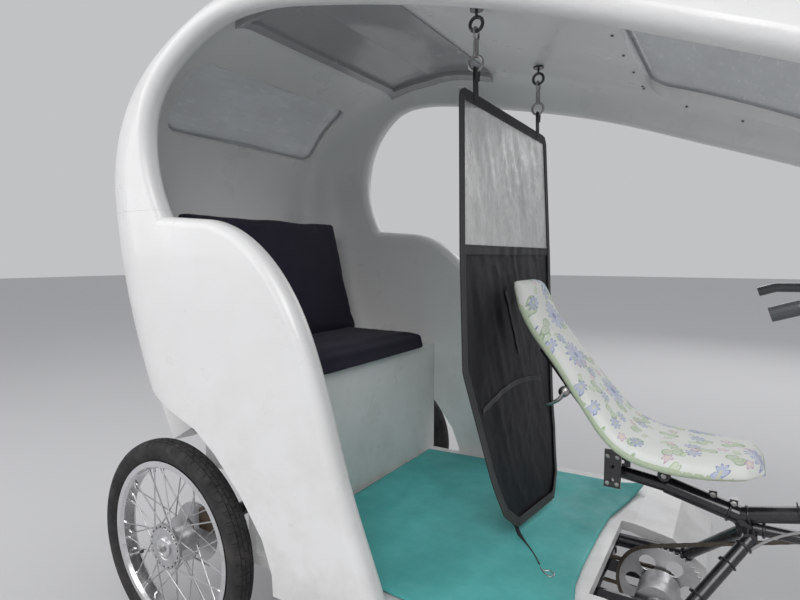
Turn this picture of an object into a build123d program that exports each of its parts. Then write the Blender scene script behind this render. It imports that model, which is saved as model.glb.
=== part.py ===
from build123d import *
import os
from math import acos, atan2, cos, hypot, pi, radians, sin

os.makedirs("parts", exist_ok=True)

# Layout: X forward, Y to the left, Z up, ground at Z = 0, origin under the middle of the length.
# Distances along X are written ahead of the rear axle and moved by at().
REAR_AXLE_X = -1146.73
SEAM = 0.3            # gap between two neighbouring panels
RUNNING = 0.05        # radial clearance of a turning fit


def at(ahead):
    return REAR_AXLE_X + ahead


# Body shell. The rear is an outline in side view; ahead of CROWN_X it is a loft of sections.
BODY_HALF_WIDTH = 517.0
WALL = 57.0
SHOULDER = 210.0
BELT_Z = 1125.0
SILL_Z = 240.0
FORM_FLOOR = 150.0
CROWN_X = 280.0
NOSE_SPLIT = 1960.0
# start, middle and end of the first arc, then the ends of the two arcs tangent to it
REAR_OUTLINE = [(-140, 480), (-292, 830), (-352, 1160), (-130, 1580), (280, 1695)]
# ahead, how much narrower than the body, top, shoulder radius
FRONT_SECTIONS = [
    (280, 0, 1695, 210), (480, 1, 1676, 205), (720, 5, 1614, 195), (960, 14, 1543, 180),
    (1335, 45, 1385, 160), (1700, 109, 1215, 138), (2000, 183, 1062, 115), (2300, 265, 885, 92),
    (2500, 339, 735, 75), (2600, 389, 640, 60), (2640, 421, 580, 50),
]
# the same columns for the inside, narrower than the body less its walls
FRONT_CORE = [
    (280, 0, 1638, 153), (480, 1, 1616, 148), (720, 5, 1553, 138), (960, 14, 1484, 123),
    (1335, 45, 1328, 103), (1700, 108, 1160, 82), (2000, 178, 1010, 62), (2300, 255, 838, 44),
    (2500, 328, 690, 34), (2590, 370, 600, 26),
]

# Edge of the open side: up the front of the rear hoop and along the underside of the roof rail
HOOP_EDGE = [(-20, 1108), (-56, 1180), (-76, 1260), (-74, 1345), (-38, 1435), (22, 1500), (95, 1545), (180, 1561)]
RAIL_EDGE = [(280, 1556), (400, 1536), (632, 1487), (885, 1417), (1105, 1336), (1345, 1243), (1700, 1078), (2000, 925)]
NOSE_EDGE = [(2130, 835), (2170, 760), (2150, 660), (2090, 560)]
PANEL_EDGE = [
    (640, 262), (595, 379), (545, 508), (508, 627), (470, 749), (403, 904), (332, 996), (255, 1056), (120, 1097),
]
ARCH_EDGE = [(-215, 660), (-130, 655), (-42, 631), (93, 583), (164, 533), (247, 453), (316, 364), (345, 290), (350, 200)]
EDGE_ROUNDING = 24.0
NOSE_ROUNDING = 18.0


def section(ahead, half_width, top, radius):
    """Arched cross-section of the body at one station."""
    plane = Plane(origin=(at(ahead), 0, 0), x_dir=(0, 1, 0), z_dir=(1, 0, 0))
    height = top - FORM_FLOOR
    outline = Pos(0, FORM_FLOOR + height / 2) * Rectangle(2 * half_width, height)
    crown = outline.vertices().group_by(Axis.Y)[-1]
    return plane * fillet(crown, radius)


def tangent_arcs(points):
    """Three arcs, each running on smoothly from the one before."""
    back = ThreePointArc(points[0], points[1], points[2])
    hoop = TangentArc(points[2], points[3], tangent=back % 1)
    roof = TangentArc(points[3], points[4], tangent=hoop % 1)
    return [back, hoop, roof]


def inset_arc(arc, depth):
    """The same arc moved towards the cabin."""
    ends = []
    for share in (0, 0.5, 1):
        along = arc % share
        ends.append(arc @ share + Vector(along.Z, 0, -along.X) * depth)
    return ThreePointArc(*ends)


def closed_below(arcs):
    """Side face between a run of arcs and the floor of the form."""
    first = arcs[0] @ 0
    last = arcs[-1] @ 1
    base = Polyline(last, (last.X, 0, FORM_FLOOR), (first.X, 0, FORM_FLOOR), first)
    return make_face(Curve() + arcs + base)


def rear_form(inset):
    """Solid body behind CROWN_X with rounded shoulders, moved in by one depth."""
    half_width = BODY_HALF_WIDTH - inset
    shoulder = SHOULDER - inset
    arcs = tangent_arcs([(at(x), 0, z) for x, z in REAR_OUTLINE])
    if inset:
        arcs = [inset_arc(arc, inset) for arc in arcs]
    path = Wire([arc.edge() for arc in arcs])
    flat = half_width - shoulder
    rim = Line((flat, 0), (-flat, 0))
    left = RadiusArc((-flat, 0), (-half_width, -shoulder), -shoulder)
    base = Line((-half_width, -shoulder), (half_width, -shoulder))
    right = RadiusArc((half_width, -shoulder), (flat, 0), -shoulder)
    cap = make_face(Curve() + [rim, left, base, right])
    form = sweep(Plane(origin=path @ 0, x_dir=(0, 1, 0), z_dir=path % 0) * cap, path=path)
    form += extrude(closed_below([inset_arc(arc, shoulder) for arc in arcs]), amount=half_width, both=True)
    form += extrude(closed_below(arcs), amount=flat, both=True)
    return form


def front_form(stations, half_width, inset=0.0):
    """Solid body ahead of CROWN_X, made narrower and lower by the inset."""
    rows = [(x, half_width - narrower - inset, top - inset, radius - inset) for x, narrower, top, radius in stations]
    return loft([section(*row) for row in rows])


def opening_edges(solid, tool, reach=0.05):
    """Edges of a wall that lie on the side faces of the tool that cut it, not those that run through the wall."""
    sides = [face for face in tool.faces() if abs(face.normal_at().Y) < 0.5]
    found = []
    for edge in solid.edges():
        ends = edge @ 1 - edge @ 0
        if abs(ends.Y) > 40 and hypot(ends.X, ends.Z) < 25:
            continue
        points = [edge @ share for share in (0.1, 0.5, 0.9)]
        if any(max(side.distance_to(point) for point in points) < reach for side in sides):
            found.append(edge)
    return found


REAR_OUTER = rear_form(0)
REAR_INNER = rear_form(WALL)
FRONT_OUTER = front_form(FRONT_SECTIONS, BODY_HALF_WIDTH)
FRONT_INNER = front_form(FRONT_CORE, BODY_HALF_WIDTH - WALL)


# Wheels
REAR_WHEEL_Y = BODY_HALF_WIDTH - 1.0
REAR_TYRE_RADIUS = 270.0
REAR_TYRE_WIDTH = 60.0
FRONT_TYRE_RADIUS = 258.0
FRONT_TYRE_WIDTH = 58.0
FRONT_WHEEL_X = 2200.0
RIM_RADIUS = 218.0
RIM_WIDTH = 46.0
RIM_BASE_RADIUS = 198.0
SPOKE_RADIUS = 1.8
SPOKES_A_SIDE = 18
SPOKE_LEAD = 44.0
FLANGE_RADIUS = 59.0
FLANGE_HOLE_RADIUS = 52.0
FLANGE_OFFSET = 26.0
HUB_BARREL_RADIUS = 30.0
HALF_SHAFT_RADIUS = 10.0
FRONT_AXLE_RADIUS = 6.0

# Steering axis, leaning back
HEAD_ANGLE = 70.0
AXIS_FOOT = (2152.0, 255.0)
STEER_UP = (-cos(radians(HEAD_ANGLE)), 0, sin(radians(HEAD_ANGLE)))
STEERER_RADIUS = 17.0

# Drive
BRACKET_X = 1740.0
BRACKET_Z = 426.0
BRACKET_HALF_LENGTH = 27.0
CRANK_LENGTH = 170.0
CRANK_Y = 92.0
CHAIN_Y = 34.0
REAR_CHAIN_Y = 54.0
CHAINRING_RADIUS = 86.0
GEAR_HUB_X = 1085.0
GEAR_HUB_Z = 212.0
GEAR_HUB_AXLE_RADIUS = 8.0
GEAR_SPROCKET_RADIUS = 92.0
GEAR_HUB_RADIUS = 46.0
DRIVE_SPROCKET_RADIUS = 28.0
FINAL_SPROCKET_RADIUS = 85.0
IDLER_X = 190.0
IDLER_Z = 260.0
IDLER_RADIUS = 12.0
CHAIN_HEIGHT = 8.0
CHAIN_WIDTH = 7.0

# Frame
BEAM_Y = 170.0
BEAM_Z = 236.2
BEAM_RADIUS = 17.5
BEAM_REAR = -40.0
BEAM_FRONT = 1131.0
CROSS_Z = 212.0
CROSS_RADIUS = 12.0
JOINT_X = 1237.0
JOINT_Z = 444.0


def steer_point(rise, side=0.0, ahead=0.0):
    """Point on or beside the steering axis, measured up along it."""
    across = (STEER_UP[2], 0, -STEER_UP[0])
    return (
        at(AXIS_FOOT[0]) + STEER_UP[0] * rise + across[0] * ahead,
        side,
        AXIS_FOOT[1] + STEER_UP[2] * rise + across[2] * ahead,
    )


def tube(points, radius, bend=0.0):
    """Round tube or bar along straight runs with rounded bends."""
    line = FilletPolyline(*points, radius=bend) if bend else Polyline(*points)
    return sweep(Plane(origin=line @ 0, z_dir=line % 0) * Circle(radius), path=line)


def rod(start, end, radius):
    """Straight round bar between two points."""
    way = Vector(*end) - Vector(*start)
    return Solid.make_cylinder(radius, way.length, Plane(origin=start, z_dir=way))


def disc_y(ahead, z, y_from, y_to, radius):
    """Round disc or bar lying across the vehicle."""
    return rod((at(ahead), min(y_from, y_to), z), (at(ahead), max(y_from, y_to), z), radius)


def side_prism(points, y_from, y_to):
    """Outline given in side view, drawn out between two distances from the middle."""
    outline = make_face(Polyline(*[(at(x), y_from, z) for x, z in points], close=True))
    return extrude(outline, amount=y_to - y_from, dir=(0, 1, 0))


def block(x_from, x_to, y_from, y_to, z_from, z_to):
    """Plain box between pairs of limits."""
    size = (x_to - x_from, y_to - y_from, z_to - z_from)
    centre = (at((x_from + x_to) / 2), (y_from + y_to) / 2, (z_from + z_to) / 2)
    return Pos(*centre) * Solid.make_box(*size, Plane(origin=(-size[0] / 2, -size[1] / 2, -size[2] / 2)))


def opening_form():
    """Space of the open sides, from hoop to nose."""
    top = Spline(*[(at(x), -900, z) for x, z in HOOP_EDGE + RAIL_EDGE])
    nose = Spline(*[(at(x), -900, z) for x, z in RAIL_EDGE[-1:] + NOSE_EDGE])
    low = Polyline((at(2090), -900, 560), (at(2090), -900, 90), (at(665), -900, 90), (at(640), -900, 262))
    panel = Spline(*[(at(x), -900, z) for x, z in PANEL_EDGE])
    belt = Line((at(PANEL_EDGE[-1][0]), -900, PANEL_EDGE[-1][1]), (at(HOOP_EDGE[0][0]), -900, HOOP_EDGE[0][1]))
    return extrude(make_face(Curve() + [top, nose, low, panel, belt]), amount=1800, dir=(0, 1, 0))


OPENING = opening_form()

# Lower shell: belt line down to the sill, open below, with a wheelhouse at each side of the tail
WHEELHOUSE_OUTER = BODY_HALF_WIDTH - 82.3
WHEELHOUSE_WALL = 25.0
WHEELHOUSE_FRONT = 0.0
WHEELHOUSE_TOP = 700.0
TAIL_FOOT = 455.0
TAIL_LAMP_Y = BODY_HALF_WIDTH - 187.0
TAIL_LAMP_Z = 900.0
TAIL_LAMP_RADIUS = 38.0
TAIL_LAMP_FRONT = -268.0
TAIL_LAMP_REAR = -334.0
skirt_outer = block(270, 720, -BODY_HALF_WIDTH, BODY_HALF_WIDTH, FORM_FLOOR, BELT_Z + 50)
skirt_inner = block(250, 740, -BODY_HALF_WIDTH + WALL, BODY_HALF_WIDTH - WALL, FORM_FLOOR - 20, BELT_Z + 60)
arch_outline = [(-420, 660)] + ARCH_EDGE + [(350, 100), (-420, 100)]
arch_space = side_prism(arch_outline, -900, 900) - block(-500, 500, -WHEELHOUSE_OUTER, WHEELHOUSE_OUTER, 0, 900)
wheelhouses = []
for side in (-1, 1):
    inner_y = side * (WHEELHOUSE_OUTER - WHEELHOUSE_WALL)
    wall_y = sorted([inner_y, side * WHEELHOUSE_OUTER])
    ledge_y = sorted([inner_y, side * (BODY_HALF_WIDTH - WALL + 1)])
    wheelhouses.append(block(-260, WHEELHOUSE_FRONT, wall_y[0], wall_y[1], TAIL_FOOT, WHEELHOUSE_TOP) & REAR_OUTER)
    wheelhouses.append(block(-260, WHEELHOUSE_FRONT, ledge_y[0], ledge_y[1], WHEELHOUSE_TOP - 20, WHEELHOUSE_TOP) & REAR_OUTER)
with BuildPart() as lower_shell:
    add(REAR_OUTER)
    add(skirt_outer)
    add(REAR_INNER, mode=Mode.SUBTRACT)
    add(skirt_inner, mode=Mode.SUBTRACT)
    add(block(-700, 1200, -900, 900, BELT_Z - SEAM, 2000), mode=Mode.SUBTRACT)
    add(block(-700, 1200, -900, 900, 0, SILL_Z), mode=Mode.SUBTRACT)
    add(OPENING, mode=Mode.SUBTRACT)
    for wheelhouse in wheelhouses:
        add(wheelhouse)
    add(arch_space, mode=Mode.SUBTRACT)
    add(block(-700, ARCH_EDGE[-1][0] - 5, -WHEELHOUSE_OUTER - 1, WHEELHOUSE_OUTER + 1, 0, TAIL_FOOT), mode=Mode.SUBTRACT)
    fillet(opening_edges(lower_shell.part, OPENING), EDGE_ROUNDING)
    for side in (-1, 1):
        recess_y = side * TAIL_LAMP_Y
        recess = rod((at(-420), recess_y, TAIL_LAMP_Z), (at(TAIL_LAMP_FRONT + SEAM), recess_y, TAIL_LAMP_Z), TAIL_LAMP_RADIUS + SEAM)
        add(recess, mode=Mode.SUBTRACT)
lower_shell.part.label = "lower_shell"
export_step(lower_shell.part, "parts/lower_shell.step")

# Rear window opening, a rounded rectangle square to the slope of the roof
WINDOW_HALF_WIDTH = BODY_HALF_WIDTH - 187.0
WINDOW_LOW = (-249.0, 1376.0)
WINDOW_HIGH = (-68.0, 1550.0)
WINDOW_CORNER = 45.0


def window_form(clearance):
    """Rounded prism through the wall, square to the line between the lower and the upper edge."""
    chord = Vector(WINDOW_HIGH[0] - WINDOW_LOW[0], 0, WINDOW_HIGH[1] - WINDOW_LOW[1])
    middle = Vector(at(WINDOW_LOW[0]), 0, WINDOW_LOW[1]) + chord / 2
    plane = Plane(origin=middle, x_dir=(0, 1, 0), z_dir=chord.cross(Vector(0, 1, 0)))
    width = 2 * (WINDOW_HALF_WIDTH - clearance)
    outline = RectangleRounded(width, chord.length - 2 * clearance, WINDOW_CORNER - clearance)
    return extrude(plane * outline, amount=200, both=True)


WINDOW_OPENING = window_form(0)
with BuildPart() as rear_canopy:
    add(REAR_OUTER)
    add(REAR_INNER, mode=Mode.SUBTRACT)
    add(block(-700, 1200, -900, 900, 0, BELT_Z), mode=Mode.SUBTRACT)
    add(block(CROWN_X, 1200, -900, 900, 0, 2000), mode=Mode.SUBTRACT)
    add(OPENING, mode=Mode.SUBTRACT)
    fillet(opening_edges(rear_canopy.part, OPENING), EDGE_ROUNDING)
    add(WINDOW_OPENING, mode=Mode.SUBTRACT)
rear_canopy.part.label = "rear_canopy"
export_step(rear_canopy.part, "parts/rear_canopy.step")

# Windscreen opening, cut down through the sloping roof
# ahead, how much narrower than the body
SCREEN_OUTLINE = [(985, 145), (1335, 165), (1700, 217), (1900, 255)]
SCREEN_CORNER = 45.0


def screen_form(clearance):
    """Rounded prism straight down through the roof."""
    rows = [(at(x), BODY_HALF_WIDTH - narrower - clearance) for x, narrower in SCREEN_OUTLINE]
    rows[0] = (rows[0][0] + clearance, rows[0][1])
    rows[-1] = (rows[-1][0] - clearance, rows[-1][1])
    ring = rows + [(x, -y) for x, y in reversed(rows)]
    outline = make_face(Polyline(*ring, close=True))
    corners = outline.vertices().sort_by(Axis.X)
    rounded = fillet(corners[:2] + corners[-2:], SCREEN_CORNER - clearance)
    return extrude(Pos(0, 0, 900) * rounded, amount=900)


SCREEN_OPENING = screen_form(0)
with BuildPart() as front_canopy:
    add(FRONT_OUTER)
    add(FRONT_INNER, mode=Mode.SUBTRACT)
    add(block(CROWN_X - 10, CROWN_X + SEAM, -900, 900, 0, 2000), mode=Mode.SUBTRACT)
    add(block(NOSE_SPLIT, 3000, -900, 900, 0, 2000), mode=Mode.SUBTRACT)
    add(block(-700, 1400, -900, 900, 0, BELT_Z), mode=Mode.SUBTRACT)
    add(block(-700, 2200, -900, 900, 0, BELT_Z - 400), mode=Mode.SUBTRACT)
    add(OPENING, mode=Mode.SUBTRACT)
    fillet(opening_edges(front_canopy.part, OPENING), EDGE_ROUNDING)
    add(SCREEN_OPENING, mode=Mode.SUBTRACT)
front_canopy.part.label = "front_canopy"
export_step(front_canopy.part, "parts/front_canopy.step")

NOSE_FLOOR = 545.0
with BuildPart() as nose_fairing:
    add(FRONT_OUTER)
    add(FRONT_INNER, mode=Mode.SUBTRACT)
    add(block(0, NOSE_SPLIT + SEAM, -900, 900, 0, 2000), mode=Mode.SUBTRACT)
    add(block(1800, 3000, -900, 900, 0, NOSE_FLOOR), mode=Mode.SUBTRACT)
    add(OPENING, mode=Mode.SUBTRACT)
    fillet(opening_edges(nose_fairing.part, OPENING), NOSE_ROUNDING)
nose_fairing.part.label = "nose_fairing"
export_step(nose_fairing.part, "parts/nose_fairing.step")

# Clear panes set in the openings, following the curve of the body
WINDOW_PANE_DEPTH = 40.0
SCREEN_PANE_DEPTH = 24.0
PANE_THICKNESS = 4.0


def rear_slice(depth, half_width):
    """Body behind CROWN_X with plain sides, its rear and roof moved in by one depth."""
    arcs = [inset_arc(arc, depth) for arc in tangent_arcs([(at(x), 0, z) for x, z in REAR_OUTLINE])]
    return extrude(closed_below(arcs), amount=half_width, both=True)


window_pane = rear_slice(WINDOW_PANE_DEPTH, 400) - rear_slice(WINDOW_PANE_DEPTH + PANE_THICKNESS, 450)
window_pane = window_pane & window_form(SEAM)
screen_pane = front_form(FRONT_SECTIONS, BODY_HALF_WIDTH, SCREEN_PANE_DEPTH)
screen_pane = screen_pane - front_form(FRONT_SECTIONS, BODY_HALF_WIDTH, SCREEN_PANE_DEPTH + PANE_THICKNESS)
screen_pane = screen_pane & screen_form(SEAM)
with BuildPart() as rear_window:
    add(window_pane)
rear_window.part.label = "rear_window"
export_step(rear_window.part, "parts/rear_window.step")
with BuildPart() as windscreen:
    add(screen_pane)
windscreen.part.label = "windscreen"
export_step(windscreen.part, "parts/windscreen.step")

# Ceiling panels under the roof, with a raised rim at the rear and both sides
CEILING_REAR = 105.0
CEILING_FRONT = 500.0
CEILING_HALF_WIDTH = BODY_HALF_WIDTH - 147.0
CEILING_THICKNESS = 5.0
CEILING_RIM = 16.0
CEILING_RIM_WIDTH = 26.0


def ceiling_space(form, x_from, x_to, margin):
    """Part of a form between two stations, kept back from the rim's outer edge."""
    half_width = CEILING_HALF_WIDTH - margin
    return form & block(x_from, x_to, -half_width, half_width, 1200, 2000)


rear_panel = ceiling_space(rear_form(WALL + SEAM), CEILING_REAR, CROWN_X - SEAM, 0)
rear_panel = rear_panel - ceiling_space(rear_form(WALL + CEILING_RIM), CEILING_REAR - 1, CROWN_X, -1)
rear_panel = rear_panel - ceiling_space(
    rear_form(WALL + CEILING_THICKNESS), CEILING_REAR + CEILING_RIM_WIDTH, CROWN_X, CEILING_RIM_WIDTH
)
core_half = BODY_HALF_WIDTH - WALL
front_panel = ceiling_space(front_form(FRONT_CORE, core_half, SEAM), CROWN_X, CEILING_FRONT, 0)
front_panel = front_panel - ceiling_space(front_form(FRONT_CORE, core_half, CEILING_RIM), CROWN_X - 1, CEILING_FRONT + 1, -1)
front_panel = front_panel - ceiling_space(
    front_form(FRONT_CORE, core_half, CEILING_THICKNESS), CROWN_X - 1, CEILING_FRONT + 1, CEILING_RIM_WIDTH
)
with BuildPart() as ceiling_panel_rear:
    add(rear_panel)
ceiling_panel_rear.part.label = "ceiling_panel_rear"
export_step(ceiling_panel_rear.part, "parts/ceiling_panel_rear.step")
with BuildPart() as ceiling_panel_front:
    add(front_panel)
ceiling_panel_front.part.label = "ceiling_panel_front"
export_step(ceiling_panel_front.part, "parts/ceiling_panel_front.step")

# Cabin floor with a front apron, arched out around the gear hub
FLOOR_TOP = 279.0
FLOOR_THICKNESS = 25.0
FLOOR_REAR = 206.0
FLOOR_FRONT = 1030.0
FLOOR_HALF_WIDTH = BODY_HALF_WIDTH - 17.0
FLOOR_UNDERSIDE = FLOOR_TOP - FLOOR_THICKNESS
HUB_ARCH_HALF_WIDTH = 195.0
HUB_ARCH_REAR = 968.0
floor_profile = side_prism(
    [(FLOOR_REAR, FLOOR_TOP), (FLOOR_FRONT - 30, FLOOR_TOP), (FLOOR_FRONT + 65, 262), (FLOOR_FRONT + 145, 205),
     (FLOOR_FRONT + 153, 176), (FLOOR_FRONT + 125, 176), (FLOOR_FRONT + 105, 192), (FLOOR_FRONT + 40, 232),
     (FLOOR_FRONT - 40, FLOOR_UNDERSIDE), (FLOOR_REAR, FLOOR_UNDERSIDE)],
    -FLOOR_HALF_WIDTH, FLOOR_HALF_WIDTH,
)
side_room = BODY_HALF_WIDTH - WALL - SEAM
with BuildPart() as floor_pan:
    add(floor_profile)
    for side in (-1, 1):
        notch_y = sorted([side * side_room, side * 700])
        add(block(100, 665, notch_y[0], notch_y[1], 0, 400), mode=Mode.SUBTRACT)
    add(block(HUB_ARCH_REAR, 1300, -HUB_ARCH_HALF_WIDTH, HUB_ARCH_HALF_WIDTH, 0, 400), mode=Mode.SUBTRACT)
floor_pan.part.label = "floor_pan"
export_step(floor_pan.part, "parts/floor_pan.step")

# Loose rubber mat on the floor: ahead, how much narrower than the body
MAT_THICKNESS = 4.0
MAT_OUTLINE = [(250, 117), (620, 87), (900, 72), (993, 69), (973, 156), (954, 255), (938, 328), (934, 437)]
mat_side = [(at(x), BODY_HALF_WIDTH - narrower) for x, narrower in MAT_OUTLINE]
mat_outline = make_face(Polyline(*(mat_side + [(x, -y) for x, y in reversed(mat_side)]), close=True))
with BuildPart() as floor_mat:
    add(extrude(Pos(0, 0, FLOOR_TOP + SEAM) * mat_outline, amount=MAT_THICKNESS))
floor_mat.part.label = "floor_mat"
export_step(floor_mat.part, "parts/floor_mat.step")

# Bench shell: riser, seat board and side walls, open to the rear and below
BENCH_FRONT = 238.0
BENCH_TOP = 679.0
BENCH_WALL = 25.0
BENCH_REAR = -96.0
board_room = WHEELHOUSE_OUTER - WHEELHOUSE_WALL - SEAM
with BuildPart() as bench_shell:
    add(block(BENCH_FRONT - BENCH_WALL, BENCH_FRONT, -side_room, side_room, FLOOR_TOP + SEAM, BENCH_TOP))
    add(block(WHEELHOUSE_FRONT + SEAM, BENCH_FRONT - BENCH_WALL, -side_room, side_room, BENCH_TOP - BENCH_WALL, BENCH_TOP))
    add(block(BENCH_REAR, WHEELHOUSE_FRONT + 1, -board_room, board_room, BENCH_TOP - BENCH_WALL, BENCH_TOP))
    for side in (-1, 1):
        wall_y = sorted([side * (side_room - 25), side * side_room])
        add(block(60, BENCH_FRONT - BENCH_WALL, wall_y[0], wall_y[1], 470, BENCH_TOP - BENCH_WALL))
bench_shell.part.label = "bench_shell"
export_step(bench_shell.part, "parts/bench_shell.step")

# Cushions
CUSHION_HALF_WIDTH = BODY_HALF_WIDTH - 172.0
seat_form = block(-85, 258, -CUSHION_HALF_WIDTH, CUSHION_HALF_WIDTH, BENCH_TOP + SEAM, 731)
back_form = side_prism([(-92, 731.3), (-40, 731.3), (-150, 1142), (-200, 1142)], -CUSHION_HALF_WIDTH, CUSHION_HALF_WIDTH)
with BuildPart() as seat_cushion:
    add(seat_form)
    fillet(seat_cushion.edges(), 12)
seat_cushion.part.label = "seat_cushion"
export_step(seat_cushion.part, "parts/seat_cushion.step")
with BuildPart() as back_cushion:
    add(back_form)
    fillet(back_cushion.edges(), 12)
back_cushion.part.label = "back_cushion"
export_step(back_cushion.part, "parts/back_cushion.step")

# Wheels: tyre, rim, and hub with spokes, disc and half shaft
# name, distance ahead of the rear axle, middle plane, tyre radius, tyre width, inner side
WHEELS = [
    ("rear_right", 0.0, -REAR_WHEEL_Y, REAR_TYRE_RADIUS, REAR_TYRE_WIDTH, 1),
    ("rear_left", 0.0, REAR_WHEEL_Y, REAR_TYRE_RADIUS, REAR_TYRE_WIDTH, -1),
    ("front", FRONT_WHEEL_X, 0.0, FRONT_TYRE_RADIUS, FRONT_TYRE_WIDTH, 0),
]
for name, ahead, plane_y, tyre_radius, tyre_width, inner in WHEELS:
    centre = (at(ahead), plane_y, tyre_radius)
    section_plane = Plane(origin=centre, x_dir=(0, 1, 0), z_dir=(1, 0, 0))
    axis = Axis(centre, (0, 1, 0))
    half = tyre_width / 2
    bead = RIM_WIDTH / 2 - 5
    bead_z = RIM_RADIUS + 1
    depth = tyre_radius - RIM_RADIUS
    # share of the half width, share of the depth down from the tread
    crown = [(1.0, 0.46), (0.93, 0.24), (0.68, 0.09), (0.32, 0.02)]
    outside = [(half * across, tyre_radius - depth * down) for across, down in crown]
    inside = [(bead, bead_z), (bead, bead_z - 12)]
    ring = [(-y, z) for y, z in inside[::-1]] + [(-y, z) for y, z in outside] + [(0, tyre_radius)] + outside[::-1] + inside
    with BuildPart() as tyre:
        with BuildSketch(section_plane):
            with BuildLine():
                Polyline(*ring, close=True)
            make_face()
        revolve(axis=axis)
    tyre.part.label = name + "_tyre"
    export_step(tyre.part, "parts/" + name + "_tyre.step")
    lip = RIM_WIDTH / 2
    with BuildPart() as rim:
        with BuildSketch(section_plane):
            with BuildLine():
                Polyline(
                    (-lip, RIM_RADIUS), (-lip, RIM_RADIUS - 14), (-lip + 8, RIM_BASE_RADIUS), (lip - 8, RIM_BASE_RADIUS),
                    (lip, RIM_RADIUS - 14), (lip, RIM_RADIUS), (lip - 3.5, RIM_RADIUS), (lip - 4.6, RIM_RADIUS - 11.5),
                    (-lip + 4.6, RIM_RADIUS - 11.5), (-lip + 3.5, RIM_RADIUS), close=True)
            make_face()
        revolve(axis=axis)
    rim.part.label = name + "_rim"
    export_step(rim.part, "parts/" + name + "_rim.step")
    barrel = FLANGE_OFFSET - 4
    spokes = []
    for side in (-1, 1):
        for index in range(SPOKES_A_SIDE):
            lead = SPOKE_LEAD if index % 2 else -SPOKE_LEAD
            start_angle = radians(360 / SPOKES_A_SIDE * (index + 0.25 * side))
            end_angle = start_angle + radians(lead)
            lift = 1.9 if index % 2 else -1.9
            start = (centre[0] + FLANGE_HOLE_RADIUS * cos(start_angle), plane_y + side * (FLANGE_OFFSET + lift),
                     tyre_radius + FLANGE_HOLE_RADIUS * sin(start_angle))
            end_radius = RIM_BASE_RADIUS - 1
            end = (centre[0] + end_radius * cos(end_angle), plane_y + side * (5 + lift),
                   tyre_radius + end_radius * sin(end_angle))
            way = Vector(*end) - Vector(*start)
            outline = Plane(origin=start, z_dir=way) * RegularPolygon(SPOKE_RADIUS, 6)
            spokes.append(extrude(outline, amount=way.length))
    with BuildPart() as hub:
        with BuildSketch(Plane(origin=(centre[0], plane_y - barrel, centre[2]), x_dir=(1, 0, 0), z_dir=(0, 1, 0))):
            Circle(HUB_BARREL_RADIUS)
        extrude(amount=2 * barrel)
        for side in (-1, 1):
            flange_y = plane_y + side * FLANGE_OFFSET
            add(rod((centre[0], flange_y - 4, centre[2]), (centre[0], flange_y + 4, centre[2]), FLANGE_RADIUS))
        if inner:
            add(rod((centre[0], plane_y - inner * 34.5, centre[2]), (centre[0], plane_y - inner * 26, centre[2]), 24))
            add(rod((centre[0], plane_y - inner * 30, centre[2]), (centre[0], inner * -130, centre[2]), HALF_SHAFT_RADIUS))
            add(rod((centre[0], plane_y + inner * 66, centre[2]), (centre[0], plane_y + inner * 70, centre[2]), 80))
            add(rod((centre[0], plane_y + inner * 26, centre[2]), (centre[0], plane_y + inner * 74, centre[2]), 20))
        else:
            add(rod((centre[0], -37, centre[2]), (centre[0], 37, centre[2]), 14))
            add(rod((centre[0], -68, centre[2]), (centre[0], 68, centre[2]), FRONT_AXLE_RADIUS))
        for spoke in spokes:
            add(spoke)
    hub.part.label = name + "_hub"
    export_step(hub.part, "parts/" + name + "_hub.step")

# Rear axle: differential case between two tubes that carry the half shafts
HOUSING_RADIUS = 20.0
HOUSING_END = REAR_WHEEL_Y - 80.0
AXLE_Z = REAR_TYRE_RADIUS
with BuildPart() as axle_housing:
    add(disc_y(0, AXLE_Z, -40, 40, 72))
    add(disc_y(0, AXLE_Z, -122, 122, 42))
    add(disc_y(0, AXLE_Z, -HOUSING_END, HOUSING_END, HOUSING_RADIUS))
    add(disc_y(0, AXLE_Z, REAR_CHAIN_Y - 2, REAR_CHAIN_Y + 2, FINAL_SPROCKET_RADIUS))
    for side in (-1, 1):
        add(disc_y(0, AXLE_Z, side * (HOUSING_END - 16), side * (HOUSING_END - 2), 34))
        add(disc_y(0, AXLE_Z, side * 124, side * (HOUSING_END + 4), HALF_SHAFT_RADIUS + RUNNING), mode=Mode.SUBTRACT)
axle_housing.part.label = "axle_housing"
export_step(axle_housing.part, "parts/axle_housing.step")
for name, side in (("right", -1), ("left", 1)):
    body_y = sorted([side * (HOUSING_END - 12), side * (HOUSING_END + 32)])
    slot_y = sorted([side * (HOUSING_END + 4), side * (HOUSING_END + 20)])
    with BuildPart() as caliper:
        add(block(36, 92, body_y[0], body_y[1], 297, 349))
        add(block(20, 92.5, slot_y[0], slot_y[1], 287, 342), mode=Mode.SUBTRACT)
    caliper.part.label = "brake_caliper_" + name
    export_step(caliper.part, "parts/brake_caliper_" + name + ".step")

# Main frame: head tube, boom, seat tube, bottom bracket and the forked stays down to the floor frame
BOOM_RADIUS = 17.5
STAY_RADIUS = 14.0
STRUT_RADIUS = 13.0
STAY_TOP = (1259.5, 407.7)
STAY_TOP_Y = 30.0
STAY_FOOT_X = 1123.0
POST_RADIUS = 15.0
POST_END = 985.0
CRADLE_Y = 74.0
CRADLE_THICKNESS = 8.0
boom = rod((at(1225), 0, 441), steer_point(400), BOOM_RADIUS)
seat_tube = rod((at(JOINT_X), 0, JOINT_Z), (at(1092), 0, 481), 20)
seat_post = rod((at(1110), 0, 476), (at(975), 0, 493), POST_RADIUS)
joint_gusset = rod((at(JOINT_X), 0, JOINT_Z), (at(STAY_TOP[0]), 0, STAY_TOP[1]), 17)
bracket_strut = rod((at(1265), 0, 420), (at(BRACKET_X), 0, BRACKET_Z), STRUT_RADIUS)
hanger_strut = rod((at(1700), 0, 555), (at(BRACKET_X), 0, BRACKET_Z), STRUT_RADIUS)
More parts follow.
